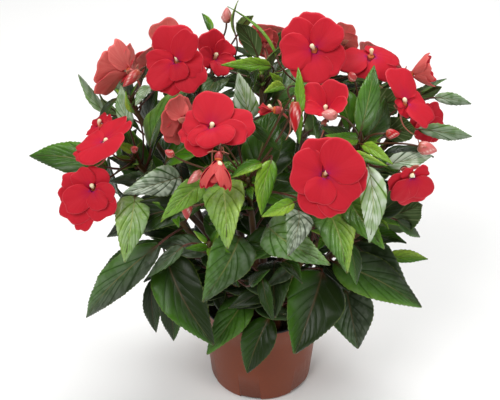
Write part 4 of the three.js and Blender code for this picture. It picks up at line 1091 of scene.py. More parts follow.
BLOOMS = {
    "crown_left": bloom("top_left", (-71, -20, 364), (-0.15, -0.87, 0.48), CROWN_LEFT_PETALS),
    "crown_middle": bloom("crown", (-43, 14, 348), (0.45, -0.65, 0.6), CROWN_MIDDLE_PETALS, 26),
    "far_left": bloom("far_left", (-114, 0, 344), (-0.8, 0.55, 0.1), FAR_LEFT_PETALS, 30),
    "behind_left": bloom("top_left", (-80, 36, 351), (-0.2, 0.98, 0.07), BEHIND_LEFT_PETALS),
    "centre": bloom("front", (-41, -98, 344), (0, -0.61, 0.79), CENTRE_PETALS),
    "centre_behind": bloom("top_left", (-65, -69, 336), (-0.8, 0.54, -0.24), even(22), 10),
    "left": bloom("left", (-130, -62, 308), (-0.45, 0, 0.87), LEFT_PETALS),
    "left_behind": bloom("left", (-139, -25, 303), (-0.58, -0.15, 0.8), even(14)),
    "low_left": bloom("left", (-139, -88, 283), (-0.12, -0.91, 0.4), LOW_LEFT_PETALS, 9),
    "hanging": bloom("front", (-35, -128, 338), (-0.1, -0.75, -0.65), HANGING_PETALS, 66),
    "crown_right": bloom("crown", (42, -14, 371), (0.05, -0.79, 0.61), CROWN_RIGHT_PETALS),
    "behind_right": bloom("top_right", (70, 42, 352), (0.5, 0.84, 0.2), BEHIND_RIGHT_PETALS),
    "shoulder": bloom("top_right", (93, 10, 352), (0.08, -0.2, 1), SHOULDER_PETALS, -20),
    "right": bloom("right", (117, -38, 333), (0.58, -0.3, 0.75), RIGHT_PETALS),
    "far_right": bloom("far_right", (143, 0, 296), (0.45, -0.8, 0.35), FAR_RIGHT_PETALS),
    "right_behind": bloom("far_right", (131, 23, 329), (0.95, -0.05, 0.25), RIGHT_BEHIND_PETALS, 60),
    "low_right": bloom("right_front", (119, -94, 301), (0.3, -0.95, -0.1), LOW_RIGHT_PETALS),
    "front": bloom("low_front_right", (46, -130, 323), (0.05, -0.82, 0.57), FRONT_PETALS),
    "half_open": bloom("top_right", (52, -52, 332), (-0.2, -0.35, 0.9), HALF_OPEN_PETALS, 38),
    "opening": bloom("front", (10, -80, 352), (-0.98, -0.16, 0.11), even(14), 65),
    "top_back": bloom("crown", (1, 61, 339), (-0.3, 0.9, 0.2), even(17)),
    "back_left": bloom("back_left", (-108, 102, 296), (-0.6, 0.65, 0.45), even(27)),
    "back_right": bloom("back_right", (112, 96, 300), (0.6, 0.62, 0.5), even(28)),
    "back_middle": bloom("back", (6, 138, 300), (0.05, 0.9, 0.42), even(29)),
}
BUDS = {
    "front_pale": bud("front", (-49, -114, 316), (-0.75, -0.35, -0.55), 15, 7),
    "front_dark": bud("front", (-62, -112, 287), (0, -0.2, -1), 17, 9),
    "front_low": bud("front", (24, -92, 366), (0, -0.8, -1), 24, 9),
    "left_small": bud("front", (-72, -100, 322), (-0.6, -0.2, 0.6), 9, 6),
    "peak_pale": bud("top_left", (-32, 60, 362), (0.05, 0.1, 1), 14, 9),
    "right_pale": bud("right", (56, -92, 354), (-0.8, -0.3, 0.3), 13, 9),
    "right_dark": bud("right", (99, -78, 329), (0.9, -0.2, 0.1), 11, 8),
    "right_pointing": bud("right", (126, -78, 317), (0.9, -0.1, -0.2), 16, 11),
    "right_high": bud("right", (74, -40, 358), (-0.3, -0.4, 0.7), 11, 7),
    "left_red": bud("far_left", (-104, -14, 352), (-0.7, -0.2, -0.6), 20, 9),
    "left_whorl": bud("left", (-108, -60, 302), (0.2, -0.6, 0.6), 8, 6),
}
THROAT_BACK = 5
PEDICEL_NECK = 3


def pedicel_line(row, back, steps):
    """The flower stalk's points, from high on the stem to just behind the throat or calyx."""
    controls = stem_controls(row["stem"])
    axis = unit(np.array(row["facing"], float))
    end = np.array(row["at"], float) - axis * (back + MEETING_GAP)
    neck = end - axis * PEDICEL_NECK
    start = bezier(controls, nearest_share(controls, end, 0.72))
    bend = neck - axis * min(12, np.linalg.norm(start - neck) * 0.35)
    return np.vstack([bezier([start, bend, neck], np.arange(steps + 1) / steps), end])


def face_frame(row):
    """The flower's own axes: right and top as one looks at its face, and out of it."""
    out = unit(np.array(row["facing"], float))
    right = unit(np.cross(UP, out))
    return np.array([right, np.cross(out, right), out])


print("flowers:", len(BLOOMS), "buds:", len(BUDS))

# %% [markdown]
# The inside of the bush can't be placed by eye, so a rule fills it, the way a plant does: each leaf grows
# where it finds light. For each new leaf the rule draws many, each with its height on the stem,
# direction, length and slope, drops those that touch what is there or leave the plant's dome, and keeps
# the one that covers most of what is still bare from four sides. It runs twice: for large leaves, and
# then for small shaded ones in the gaps between them. The draws come from a plain seeded sequence, so the
# plant is the same on each run. A KD-tree, a sorted store of points, answers quickly how near the nearest
# one is.

# %% Fill the inside
FILL_DRAWS = 200
FILL_WIDTH = 0.42
FILL_ARCH = 0.14
FILL_DROOP = -38
FILL_RISE = 60
FILL_SLOPE_SPREAD = 45
FILL_VIEWS = [
    {"from": (0, -1, 0.7), "worth": 4},
    {"from": (1, -0.2, 0.4), "worth": 1},
    {"from": (-1, -0.2, 0.4), "worth": 1},
    {"from": (0, 1, 0.4), "worth": 1},
]
# Half the dome's width, its depth behind and in front, and its height.
DOME = (146, 142, 92, 128)
DOME_HEIGHT = 238


def draw_from(seed):
    """Seeded draws between 0 and 1, one after another."""
    state = seed
    while True:
        state = (state * 1664525 + 1013904223) % 4294967296
        yield state / 4294967296


def leaf_spots(row):
    """45 points of a blade, from its foot to its tip and from edge to edge."""
    blade = Blade(row)
    return blade.point(np.repeat(np.arange(9) / 8, 5), np.tile([-1, -0.5, 0, 0.5, 1], 9))


def bloom_spots(row):
    """Points of a flower: its throat, and two rings on the cone that its petals lie on."""
    reach = max(each["reach"] for each in row["petals"])
    cup = math.radians(row["cup"])
    spots = [(0, 0, -6), (0, 0, 3)]
    for share in (0.5, 0.95):
        flat, rise = share * reach * math.cos(cup), share * reach * math.sin(cup)
        spots += [(flat * math.cos(TURN * k / 10), flat * math.sin(TURN * k / 10), rise) for k in range(10)]
    return np.array(spots) @ face_frame(row) + row["at"]


def petiole_spots(row):
    return bezier(petiole_controls(row), [0.5, 0.7, 0.9])


def in_dome(spots, slack):
    """Whether all the points lie in the plant's dome, which is flatter in front than behind."""
    wide, deep, front, high = DOME
    depth = np.where(spots[:, 1] < 0, front, deep)
    return ((spots[:, 0] / wide) ** 2 + (spots[:, 1] / depth) ** 2
            + ((spots[:, 2] - DOME_HEIGHT) / high) ** 2 < slack).all()


def drawn_leaf(stem, draw, rule):
    """A leaf drawn on a stem: it grows to any side and droops more the lower it is."""
    share = between(rule["share"], next(draw))
    bearing = TURN * next(draw)
    length = between(rule["length"], next(draw))
    slope = math.radians(FILL_DROOP + FILL_RISE * share + FILL_SLOPE_SPREAD * next(draw))
    level = math.cos(slope)
    way = np.array([math.cos(bearing) * level, math.sin(bearing) * level, math.sin(slope)])
    foot = bezier(stem_controls(stem), share) + way * rule["petiole"]
    tip = foot + way * length - UP * (0.25 * length)
    age = rule["age"] - 0.45 * share + 0.12 * math.sin(7 * bearing)
    # A little painted highlight on the wax of some filled leaves.
    pale = 0.2 * share * (bearing % 1) ** 3
    return leaf(stem, foot, tip, length * FILL_WIDTH, FILL_ARCH, age=age, pale=pale)


def cells_of(spots, cell_size):
    """The cells that points fall in, seen from each of the fill's views, and what each cell is worth."""
    cells = {}
    for k, view in enumerate(FILL_VIEWS):
        away = unit(np.array(view["from"], float))
        right = unit(np.cross(UP, away))
        top = np.cross(away, right)
        places = np.floor(np.stack([spots @ right, spots @ top], -1) / cell_size).astype(int)
        cells.update({(k, *place): view["worth"] for place in places.tolist()})
    return cells


def stored(points):
    """A KD-tree of points."""
    tree = kdtree.KDTree(len(points))
    for i, place in enumerate(points):
        tree.insert(place, i)
    tree.balance()
    return tree


def clear_by(gap, spots, tree):
    return all(tree.find(spot)[2] > gap for spot in spots)


def best_leaf(stem, draw, covered, tree, rule):
    """Of many draws on a stem, the leaf that covers most of what is bare, with its spots and cells."""
    best, best_gain = None, 0
    for _ in range(FILL_DRAWS):
        row = drawn_leaf(stem, draw, rule)
        spots = leaf_spots(row)
        if not in_dome(spots, rule["slack"]):
            continue
        cells = cells_of(spots, rule["cell"])
        bare = {cell: worth for cell, worth in cells.items() if cell not in covered}
        gain = sum(bare.values())
        if gain <= best_gain or not clear_by(rule["clearance"], spots, tree):
            continue
        stalk_spots = petiole_spots(row)
        if clear_by(rule["stalk_clearance"], stalk_spots, tree):
            best, best_gain = (row, np.vstack([spots, stalk_spots]), bare), gain
    return best


def fill_leaves(placed, rule):
    """The leaves that the rule adds to those placed, on one stem after another."""
    draw = draw_from(rule["seed"])
    shown = np.vstack([leaf_spots(row) for row in placed] + [bloom_spots(row) for row in BLOOMS.values()])
    covered = set(cells_of(shown, rule["cell"]))
    taken = [shown] + [petiole_spots(row) for row in placed]
    taken += [pedicel_line(row, THROAT_BACK, 6) for row in BLOOMS.values()]
    taken += [pedicel_line(row, 0, 6) for row in BUDS.values()]
    taken += [bezier(stem_controls(stem), np.arange(4, 25) / 24) for stem in STEMS]
    taken = np.vstack(taken)
    names = list(STEMS)
    rows = []
    for i in range(rule["leaves"]):
        best = best_leaf(names[i % len(names)], draw, covered, stored(taken), rule)
        if best:
            row, spots, bare = best
            rows.append(row)
            taken = np.vstack([taken, spots])
            covered.update(bare)
    return rows


LARGE_FILL = {"seed": 7, "leaves": 47, "cell": 10, "clearance": 8, "stalk_clearance": 5,
              "share": (0.3, 0.97), "length": (64, 98), "petiole": 18, "age": 1.05, "slack": 1}
# Small inside leaves get ages past 1, painted darkest green: partly old leaves, partly painted shade.
SMALL_FILL = {"seed": 11, "leaves": 150, "cell": 6, "clearance": 3, "stalk_clearance": 2,
              "share": (0.2, 0.95), "length": (30, 58), "petiole": 12, "age": 1.25, "slack": 1.4}
FILLED = fill_leaves(LEAVES, LARGE_FILL)
SHADED = fill_leaves(LEAVES + FILLED + BACKGROUND, SMALL_FILL)
print("leaves filled in by the rule:", len(FILLED), "large ones, then", len(SHADED), "small ones")

# %% [markdown]
# At the top of every stem sits a whorl of leaves that have only just unfolded. They are small, narrow,
# upright and light green. They hide the place where the flower stalks come out.

# %% Young leaves at the stem tips
WHORL_LEAVES = 5
WHORL_LENGTH = (13, 22)
WHORL_WIDTH = 0.36
WHORL_ARCH = 0.08
GOLDEN_ANGLE = 137.5


def whorl(stem, number):
    """The young leaves of one stem tip, each turned by the golden angle from the one before."""
    controls = stem_controls(stem)
    tip = controls[-1]
    way = unit(tip - bezier(controls, 0.9))
    side = unit(np.cross(way, (1, 0, 0)))
    other = np.cross(way, side)
    rows = []
    for i in range(WHORL_LEAVES):
        bearing = math.radians(GOLDEN_ANGLE * i + 50 * number)
        out = side * math.cos(bearing) + other * math.sin(bearing)
        lean = unit(out * 0.85 + way * 0.55)
        length = between(WHORL_LENGTH, (i + 1) / WHORL_LEAVES)
        foot = tip - way * (2 + 2 * i) + out * 2.5
        age = 0.32 + 0.06 * i
        rows.append(leaf(stem, foot, foot + lean * length, length * WHORL_WIDTH, WHORL_ARCH, age=age))
    return rows


print("young leaves:", WHORL_LEAVES * len(STEMS))

# %% [markdown]
# Each stem, with its stalks and all its leaves, is one piece and stands for the CAD node of the same
# stem. The leaves that face the viewer get the finest mesh, and those in the shade a coarser one.

# %% Make the leafy stems
PEDICEL_STEPS = 12
PEDICEL_SIDES = 8
SHADY_LEAVES = len(BACKGROUND) + len(SHADED) + WHORL_LEAVES
COARSENESS = [FINE] * len(LEAVES) + [MIDDLING] * len(FILLED) + [COARSE] * SHADY_LEAVES
ALL_LEAVES = LEAVES + FILLED + BACKGROUND + SHADED
FLOWER_STALKS = [(row, THROAT_BACK) for row in BLOOMS.values()] + [(row, 0) for row in BUDS.values()]
for number, name in enumerate(STEMS):
    greens = Tissue([LEAF_UPPER, LEAF_LOWER, STEM_SKIN])
    grow_stem(greens, name)
    for i, row in enumerate(ALL_LEAVES + whorl(name, number)):
        if row["stem"] == name:
            grow_leaf(greens, row, i, COARSENESS[i])
    for row, back in FLOWER_STALKS:
        if row["stem"] == name:
            line = pedicel_line(row, back, PEDICEL_STEPS)
            radii = np.full(len(line), PEDICEL_RADIUS)
            greens.stalk(line, radii, PEDICEL_SIDES, (0, 0.8, 0), STEM_SKIN)
    made = greens.make(f"leaves_{name}", "leafy_stem", f"leafy_stem_{name}")
    print(made.name, "faces:", len(made.data.polygons))

# %% [markdown]
# A petal starts narrow at the throat and rounds out to a broad lobe, a little wider than half its length
# on either side. It is drawn flat first, as a fan of lines from the throat to an edge that is nearly an
# ellipse with a shallow notch. Then it is bent along an arc, laid on the flower's cone and raised to its
# own layer so that it laps over its neighbours. A closing flower also narrows its petals. Real petals are
# never flat, so the edge is ruffled and a soft crease runs to the notch.

# %% Grow one petal
PETAL_THICKNESS = 0.4
PETAL_LAYER = 1.7
PETAL_NOTCH = 0.06
NOTCH_SPREAD = 0.1
PETAL_ROOT = 3
PETAL_ROWS = 13
PETAL_COLUMNS = 27
PETAL_WIDENESS = 0.0122
PETAL_CLOSING = 0.12
EDGE_TURN = math.radians(148)
RUFFLE_MM = 1.5
FINE_RUFFLE_MM = 0.5
CREASE_MM = 0.45
DOME_MM = 1.1


def petal_edge(each, across, seed):
    """The petal's edge, drawn flat: real numbers run along the petal, imaginary ones across it."""
    turn = EDGE_TURN * across
    notch = 1 - PETAL_NOTCH * np.exp(-((across / NOTCH_SPREAD) ** 2))
    notch = notch + 0.02 * np.sin(5 * across + seed) + 0.012 * np.sin(13 * across + 2 * seed)
    forward = each["reach"] * (0.53 + 0.47 * np.cos(turn)) * notch
    half_width = each["reach"] * each["spread"] * PETAL_WIDENESS
    return forward + 1j * half_width * np.sign(turn) * np.abs(np.sin(turn)) ** 0.85


def grow_petal(tissue, axes, at, each, cup, seed, young_and_shaded_back):
    """One petal, drawn flat, curled along its length, laid on the flower's cone and then ruffled."""
    rise, flat = math.sin(math.radians(cup)), math.cos(math.radians(cup))
    along = np.linspace(0, 1, PETAL_ROWS)[:, None]
    across = np.linspace(-1, 1, PETAL_COLUMNS)[None, :]
    root = PETAL_ROOT + 1.2j * across
    drawn = root + (petal_edge(each, across, seed) - root) * along
    start = math.radians(each["lift"] - each["curl"] / 2)
    rate = math.radians(each["curl"]) / each["reach"]
    turned_by = start + rate * drawn.real
    curled = (np.sin(turned_by) - math.sin(start)) / rate
    raised = (math.cos(start) - np.cos(turned_by)) / rate + each["layer"] * PETAL_LAYER
    opened = curled + 1j * drawn.imag * (1 - PETAL_CLOSING * rise)
    opened = opened * np.exp(1j * math.radians(each["angle"]))
    reach = np.abs(opened)
    plan = opened / reach * (reach * flat - raised * rise)
    edging = along ** 3 * (0.5 + 0.5 * np.abs(across))
    ruffle = RUFFLE_MM * edging * np.sin(7 * across + seed)
    ruffle = ruffle + FINE_RUFFLE_MM * edging * np.sin(17 * across + 2 * seed)
    crease = -CREASE_MM * np.exp(-((across / NOTCH_SPREAD) ** 2)) * np.sin(np.pi * along ** 1.3)
    dome = DOME_MM * np.sin(np.pi * along) * (1 - across ** 2)
    height = reach * rise + raised * flat + ruffle + crease + dome
    grid = triples(plan.real, plan.imag, height) @ axes + at
    growth = triples(0.1 + 0.9 * along, across, float(seed))
    tissue.sheet(grid, PETAL_THICKNESS, growth, PETAL_FACE, PETAL_BACK, (young_and_shaded_back, 0, 0))


print("points on a petal's face:", PETAL_ROWS * PETAL_COLUMNS)

# %% [markdown]
# The throat holds the petals together: a small funnel with the cream stamens standing out of it, orange
# at their foot and bent up over the petals, three narrow sepals behind, and the long thin spur that holds
# the nectar, curving down and back.

# %% Grow one flower
SPUR_MM = 26
SPUR_POINTS = 14
STAMEN_MM = 6
THROAT_SIDES = 12
SEPAL_ANGLES = (0, 120, 240)
# How much darker red the backs of some flowers are: partly young colour, partly painted shade.
YOUNG_AND_SHADED_FLOWERS = {"hanging": 0.62, "opening": 0.95, "centre_behind": 0.3, "right_behind": 0.3,
                 "top_back": 0.6}
# The petals still wound in the mouth of the hanging flower.
WOUND_PETALS = [
    petal(40, 20, 62, 1, 9, 25),
    petal(160, 19, 62, 1, 9, 25),
    petal(280, 20, 62, 1, 9, 25),
    petal(100, 16, 54, 2, 14, 25),
    petal(220, 16, 54, 2, 14, 25),
    petal(340, 15, 54, 2, 16, 25),
]


def along_tone(start, end, count):
    """Stored numbers for a stalk whose tone changes evenly along it."""
    return triples(np.linspace(start, end, count).clip(0, 1)[:, None], 0.0, 0.0)


def grow_stamens(tissue, axes, at, seed):
    """The cap of stamens, bent up and a little aside, and the ring round the opening that it stands in."""
    aside = 0.5 * math.sin(2.3 * seed)
    radii = [1.3, 1.4, 1.45, 1.5, 1.65, 1.85, 2.0, 1.7, 0.8]
    share = np.linspace(0, 1, len(radii))
    height = 2.4 + 0.55 * STAMEN_MM * np.sin(2.2 * share)
    stamens = triples(aside * share * STAMEN_MM, 0.7 * share * STAMEN_MM, height)
    tissue.stalk(stamens @ axes + at, radii, THROAT_SIDES, along_tone(0.0, 1.4, len(radii)), STAMEN_CAP)
    mouth = np.array([(0, 0, 1.3), (0, 0, 2.1), (0, 0, 2.8)])
    tissue.stalk(mouth @ axes + at, [3.1, 2.8, 1.5], THROAT_SIDES, (0, 0, 0), STAMEN_CAP)


def grow_spur(tissue, axes, at):
    """The spur, which leaves the throat's back and curves down."""
    down = unit(-UP - axes[2] * (-UP @ axes[2]) + 1e-6)
    back = -axes[2]
    start = at + back * 3 + down * 1.5
    controls = [start, start + back * 9 + down * 5, start + back * 14 + down * 14,
                start + back * 8 + down * SPUR_MM]
    spur = bezier(controls, np.linspace(0, 1, SPUR_POINTS))
    radii = np.linspace(1.1, 0.35, SPUR_POINTS)
    tissue.stalk(spur, radii, 7, along_tone(0.1, 1.0, SPUR_POINTS), SEPAL_SKIN)


def grow_sepals(tissue, axes, at, turn, columns, reach, width, height, tone, thickness):
    """Three narrow sepals round a foot. reach, width, height and tone are given along a sepal."""
    across = np.linspace(-1, 1, columns)[None, :]
    for angle in SEPAL_ANGLES:
        bearing = math.radians(turn + angle)
        out = np.array([math.cos(bearing), math.sin(bearing), 0])
        side = np.array([-out[1], out[0], 0])
        grid = out * reach[..., None] + side * (width * across)[..., None]
        grid = grid + np.array([0, 0, 1.0]) * height[..., None]
        tissue.sheet(grid @ axes + at, thickness, triples(tone, across, 0.0), SEPAL_SKIN, SEPAL_SKIN)


def grow_throat(tissue, axes, at, seed):
    """The funnel that holds the petals together, with all that stands in it and hangs from it."""
    radii = [0.9, 2.0, 2.7, 3.1, 3.3, 3.3, 2.7, 1.4]
    throat = triples(0.0, 0.0, np.linspace(-4.9, 2.2, len(radii)))
    tissue.stalk(throat @ axes + at, radii, THROAT_SIDES, along_tone(0.2, 0.0, len(radii)), SEPAL_SKIN)
    grow_stamens(tissue, axes, at, seed)
    grow_spur(tissue, axes, at)
    along = np.linspace(0, 1, 7)[:, None]
    width = 2.4 * np.sin(np.pi * (0.08 + 0.9 * along)) ** 0.8
    grow_sepals(tissue, axes, at, turn=30, columns=5, reach=1.5 + 8 * along, width=width,
                height=-4.2 + 2.2 * along ** 2, tone=0.2 + 0.6 * along, thickness=0.35)


for number, (name, row) in enumerate(BLOOMS.items()):
    reds = Tissue([PETAL_FACE, PETAL_BACK, STAMEN_CAP, SEPAL_SKIN])
    axes = face_frame(row)
    at = np.array(row["at"], float)
    petals = row["petals"] + (WOUND_PETALS if name == "hanging" else [])
    for i, each in enumerate(petals):
        young_and_shaded_back = YOUNG_AND_SHADED_FLOWERS.get(name, 0) if i < len(row["petals"]) else 1
        grow_petal(reds, axes, at, each, row["cup"], number * 1.7 + i * 2.3, young_and_shaded_back)
    grow_throat(reds, axes, at, number)
    made = reds.make(f"flower_{name}", "petal", f"bloom_{name}")
    print(made.name, "faces:", len(made.data.polygons))

# %% [markdown]
# A bud is drawn as a stalk of changing thickness: narrow at the calyx, fullest at two fifths, then drawn
# to a blunt point. Its seams are pressed in slightly and stored as a number for the material.

# %% Buds
BUD_RINGS = 16
BUD_SIDES = 20
BUD_SEAMS = 3
BUD_TWIST = 2.2
SEAM_SPREAD = 0.22
SEAM_DEPTH = 0.1
BUD_TONE = {"front_pale": 0.5, "peak_pale": 0.35, "right_pale": 0.4, "right_pointing": 0.6,
            "front_low": 1.0, "right_dark": 1.0}
BUD_USUAL_TONE = 0.9


def grow_bud(tissue, axes, at, row, tone):
    """The wound petals of a bud: rings that swell and narrow, pressed in along the seams."""
    along = np.linspace(0, 1, BUD_RINGS)[:, None]
    angle = np.arange(BUD_SIDES)[None, :] * TURN / BUD_SIDES
    full = np.sin(np.pi * np.clip(along * 0.86 + 0.14, 0, 1) ** 0.85).clip(0) ** 0.75
    radius = row["width"] / 2 * full
    twist = angle + along * BUD_TWIST
    seam = np.exp(-((np.sin(BUD_SEAMS * twist / 2) / SEAM_SPREAD) ** 2)) * np.sin(np.pi * along)
    radius = radius * (1 - SEAM_DEPTH * seam)
    local = triples(radius * np.cos(angle), radius * np.sin(angle), row["length"] * along)
    first = tissue.take(local @ axes + at, triples(along, seam, tone), (0, 0, 0))
    index = np.arange(BUD_RINGS * BUD_SIDES).reshape(BUD_RINGS, BUD_SIDES) + first
    after = np.roll(index, -1, axis=1)
    tissue.cover(np.stack([index[:-1], after[:-1], after[1:], index[1:]], -1).reshape(-1, 4), BUD_SKIN)
    tissue.cover(index[:1, ::-1], BUD_SKIN)
    tissue.cover(index[-1:], BUD_SKIN)


for name, row in BUDS.items():
    wound = Tissue([BUD_SKIN, SEPAL_SKIN])
    axes = face_frame(row)
    at = np.array(row["at"], float)
    grow_bud(wound, axes, at, row, BUD_TONE.get(name, BUD_USUAL_TONE))
    along = np.linspace(0, 1, 6)[:, None]
    width = 1.5 * np.sin(np.pi * (0.08 + 0.9 * along))
    reach = row["width"] * (0.2 + 0.36 * np.sin(np.pi * along / 2))
    grow_sepals(wound, axes, at, turn=20, columns=3, reach=reach, width=width,
                height=row["length"] * 0.4 * along, tone=0.1 + 0.5 * along, thickness=0.3)
    wound.make(f"bud_of_{name}", "bud", f"bud_{name}")
print("buds made:", len(BUDS))

# %% [markdown]
# The pot is turned: its profile is drawn once and spun round the upright axis, with small arcs at the
# foot and the lip where the mould was rounded. The drain notches in the foot ring and the six holes are
# then cut by a Boolean modifier, which is applied. Faces inside and on the lip get the black plastic.

# %% Pot
POT_HEIGHT = 98
POT_RIM_RADIUS = 60
POT_FOOT_RADIUS = 50.7
POT_WALL = 1.8
POT_CORNER = 4.5
POT_SIDES = 112
PAD_RADIUS = 24
CHANNEL_HEIGHT = 4.5
CHANNEL_INNER = 26
CHANNEL_OUTER = 41
FOOT_INNER = 42.5
DRAIN_HOLES = 6
DRAIN_HOLE_RADIUS = 4
DRAIN_HOLE_CIRCLE = 33.5
NOTCHES = 6
NOTCH_WIDTH = 21
NOTCH_TURN = -12
LIP_HEIGHT = 2.4
LIP_PROUD = 0.6
LIP_ARC = 0.9
WALL_RINGS = (40, 70)
DRILL_SIDES = 24


def pot_radius(z):
    return between((POT_FOOT_RADIUS, POT_RIM_RADIUS - LIP_PROUD), z / POT_HEIGHT)


def arc(centre, radius, start, end, steps):
    """Points of an arc, in degrees, as (radius, height) pairs."""
    return [(centre[0] + radius * math.cos(math.radians(a)), centre[1] + radius * math.sin(math.radians(a)))
            for a in np.linspace(start, end, steps)]


def pot_profile():
    """The pot's outline, from under its middle up the outside, over the lip and down to its floor."""
    floor = CHANNEL_HEIGHT + POT_WALL
    corner = (pot_radius(POT_CORNER) - POT_CORNER, POT_CORNER)
    lip = POT_HEIGHT - LIP_HEIGHT
    outer = [(0, 0), (PAD_RADIUS, 0), (CHANNEL_INNER, CHANNEL_HEIGHT), (CHANNEL_OUTER, CHANNEL_HEIGHT),
             (FOOT_INNER, 0), *arc(corner, POT_CORNER, -90, -8, 7)]
    outer += [(pot_radius(z), z) for z in (*WALL_RINGS, lip)]
    outer += [(POT_RIM_RADIUS, lip + LIP_PROUD)]
    rim = arc((POT_RIM_RADIUS - LIP_ARC, POT_HEIGHT - LIP_ARC), LIP_ARC, 0, 90, 4)
    rim += [(POT_RIM_RADIUS - POT_WALL - 0.4, POT_HEIGHT)]
    inner = [(pot_radius(POT_HEIGHT - 3) - POT_WALL, POT_HEIGHT - 3), (pot_radius(floor) - POT_WALL, floor),
             (CHANNEL_INNER - 1, floor), (PAD_RADIUS - 1, POT_WALL), (0, POT_WALL)]
    return outer + rim + inner


def turned(profile, sides, name):
    """A closed body turned from a profile that starts and ends on the axis."""
    rings, faces = [], []
    for radius, z in profile[1:-1]:
        angles = np.arange(sides) * TURN / sides
        rings.append(np.stack([radius * np.cos(angles), radius * np.sin(angles), np.full(sides, z)], -1))
    points = np.vstack([*rings, [[0, 0, profile[0][1]]], [[0, 0, profile[-1][1]]]])
    count = len(rings)
    first, last = count * sides, count * sides + 1
    for k in range(sides):
        after = (k + 1) % sides
        faces.append((first, after, k))
        faces.append((last, (count - 1) * sides + k, (count - 1) * sides + after))
        for r in range(count - 1):
            faces.append((r * sides + k, r * sides + after, (r + 1) * sides + after, (r + 1) * sides + k))
    mesh = bpy.data.meshes.new(name)
    mesh.from_pydata(points * MM, [], faces)
    return put_in_scene(name, mesh)


def prism(name, outline, low, high):
    """An upright prism over an outline of (x, y) points that runs counter-clockwise."""
    count = len(outline)
    points = [(x * MM, y * MM, z * MM) for z in (low, high) for x, y in outline]
    faces = [tuple(range(count))[::-1], tuple(range(count, 2 * count))]
    faces += [(k, (k + 1) % count, count + (k + 1) % count, count + k) for k in range(count)]
    mesh = bpy.data.meshes.new(name)
    mesh.from_pydata(points, [], faces)
    return bpy.data.objects.new(name, mesh)


def notch(number):
    """The box that cuts one drain notch through the foot ring."""
    turn = math.radians(NOTCH_TURN + 360 * number / NOTCHES)
    near = -CHANNEL_INNER - 4
    far = near - (POT_FOOT_RADIUS - CHANNEL_INNER)
    side = NOTCH_WIDTH / 2
    right = np.array([math.cos(turn), math.sin(turn)])
    ahead = np.array([-math.sin(turn), math.cos(turn)])
    outline = [right * x + ahead * y for x, y in ((-side, far), (side, far), (side, near), (-side, near))]
    return prism(f"notch_{number}", outline, -CHANNEL_HEIGHT, CHANNEL_HEIGHT)


def drill(number):
    """The rod that drills one drain hole through the channel's floor, half way between two notches."""
    turn = math.radians(NOTCH_TURN + 360 * (number + 0.5) / DRAIN_HOLES)
    centre = DRAIN_HOLE_CIRCLE * np.array([math.sin(turn), -math.cos(turn)])
    angles = TURN * np.arange(DRILL_SIDES) / DRILL_SIDES
    outline = centre + DRAIN_HOLE_RADIUS * np.stack([np.cos(angles), np.sin(angles)], -1)
    return prism(f"drill_{number}", outline, 1, 10)


def cut_drainage(pot):
    """Cuts all notches and holes at once and puts the result into the pot's mesh."""
    tools = bpy.data.collections.new("cutters")
    bpy.context.scene.collection.children.link(tools)
    for tool in [notch(i) for i in range(NOTCHES)] + [drill(i) for i in range(DRAIN_HOLES)]:
        tools.objects.link(tool)
    cut = pot.modifiers.new("drainage", "BOOLEAN")
    cut.operand_type = "COLLECTION"
    cut.collection = tools
    cut.solver = "EXACT"
    graph = bpy.context.evaluated_depsgraph_get()
    mesh = bpy.data.meshes.new_from_object(pot.evaluated_get(graph))
    pot.modifiers.clear()
    pot.data = mesh
    for tool in list(tools.objects):
        bpy.data.objects.remove(tool)
    bpy.data.collections.remove(tools)


def colour_pot(pot):
    """Terracotta outside, black on the lip and inside, and smooth where the wall is round."""
    for material in (TERRACOTTA, BLACK_PLASTIC):
        pot.data.materials.append(material)
    lip_start = (POT_HEIGHT - LIP_HEIGHT) * MM
    for face in pot.data.polygons:
        centre = face.center
        out = centre.x * face.normal.x + centre.y * face.normal.y
        inner_wall = centre.z > CHANNEL_HEIGHT * MM and out < 0
        inner_floor = centre.z > POT_WALL * MM and face.normal.z > 0.9
        face.material_index = 1 if inner_wall or inner_floor or centre.z > lip_start else 0
        face.use_smooth = abs(face.normal.z) < 0.8


pot = turned(pot_profile(), POT_SIDES, "nursery_pot")
cut_drainage(pot)
colour_pot(pot)
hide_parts("pot")
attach(pot, "root")
print("pot faces:", len(pot.data.polygons))

# %% [markdown]
# The peat fills the pot to a little below its rim. Its surface is a disc of fine rings whose heights come
# from layered noise, and a few hundred loose crumbs lie half sunk in it. The side and bottom follow the
# pot's inside.

# %% Soil
SOIL_GAP = 0.35
SOIL_MOUND = 4
SOIL_TOP_RADIUS = 56
SOIL_SIDES = 72
SOIL_RINGS = 34
CRUMB_MM = 1.1
CRUMBS = 260
CRUMB_SEED = 7
CRUMB_SPREAD = 53


def crumb_height(x, y):
    """The peat's lumps: large soft ones and small sharp ones."""
    large = noise.noise(Vector((x / 9, y / 9, 0.5)))
    small = noise.noise(Vector((x / 2.6, y / 2.6, 4.5)))
    return CRUMB_MM * (large + 0.8 * small)


def soil_level(radius):
    """The height of the gently mounded surface, without its lumps."""
    return SOIL_LEVEL + SOIL_MOUND * (1 - (radius / SOIL_TOP_RADIUS) ** 2)


def soil_body():
    floor = CHANNEL_HEIGHT + POT_WALL + SOIL_GAP
    edge = pot_radius(SOIL_LEVEL) - POT_WALL - SOIL_GAP
    foot = pot_radius(floor) - POT_WALL - SOIL_GAP
    profile = [(0, floor), (foot, floor), (edge, SOIL_LEVEL - 1)]
    profile += [(r, soil_level(r)) for r in np.linspace(edge, 1.5, SOIL_RINGS)]
    body = turned(profile + [(0, soil_level(0))], SOIL_SIDES, "peat_soil")
    for vertex in body.data.vertices:
        x, y, z = vertex.co / MM
        if z > SOIL_LEVEL - 0.5 and math.hypot(x, y) < edge - 1:
            vertex.co.z += crumb_height(x, y) * MM
    return body


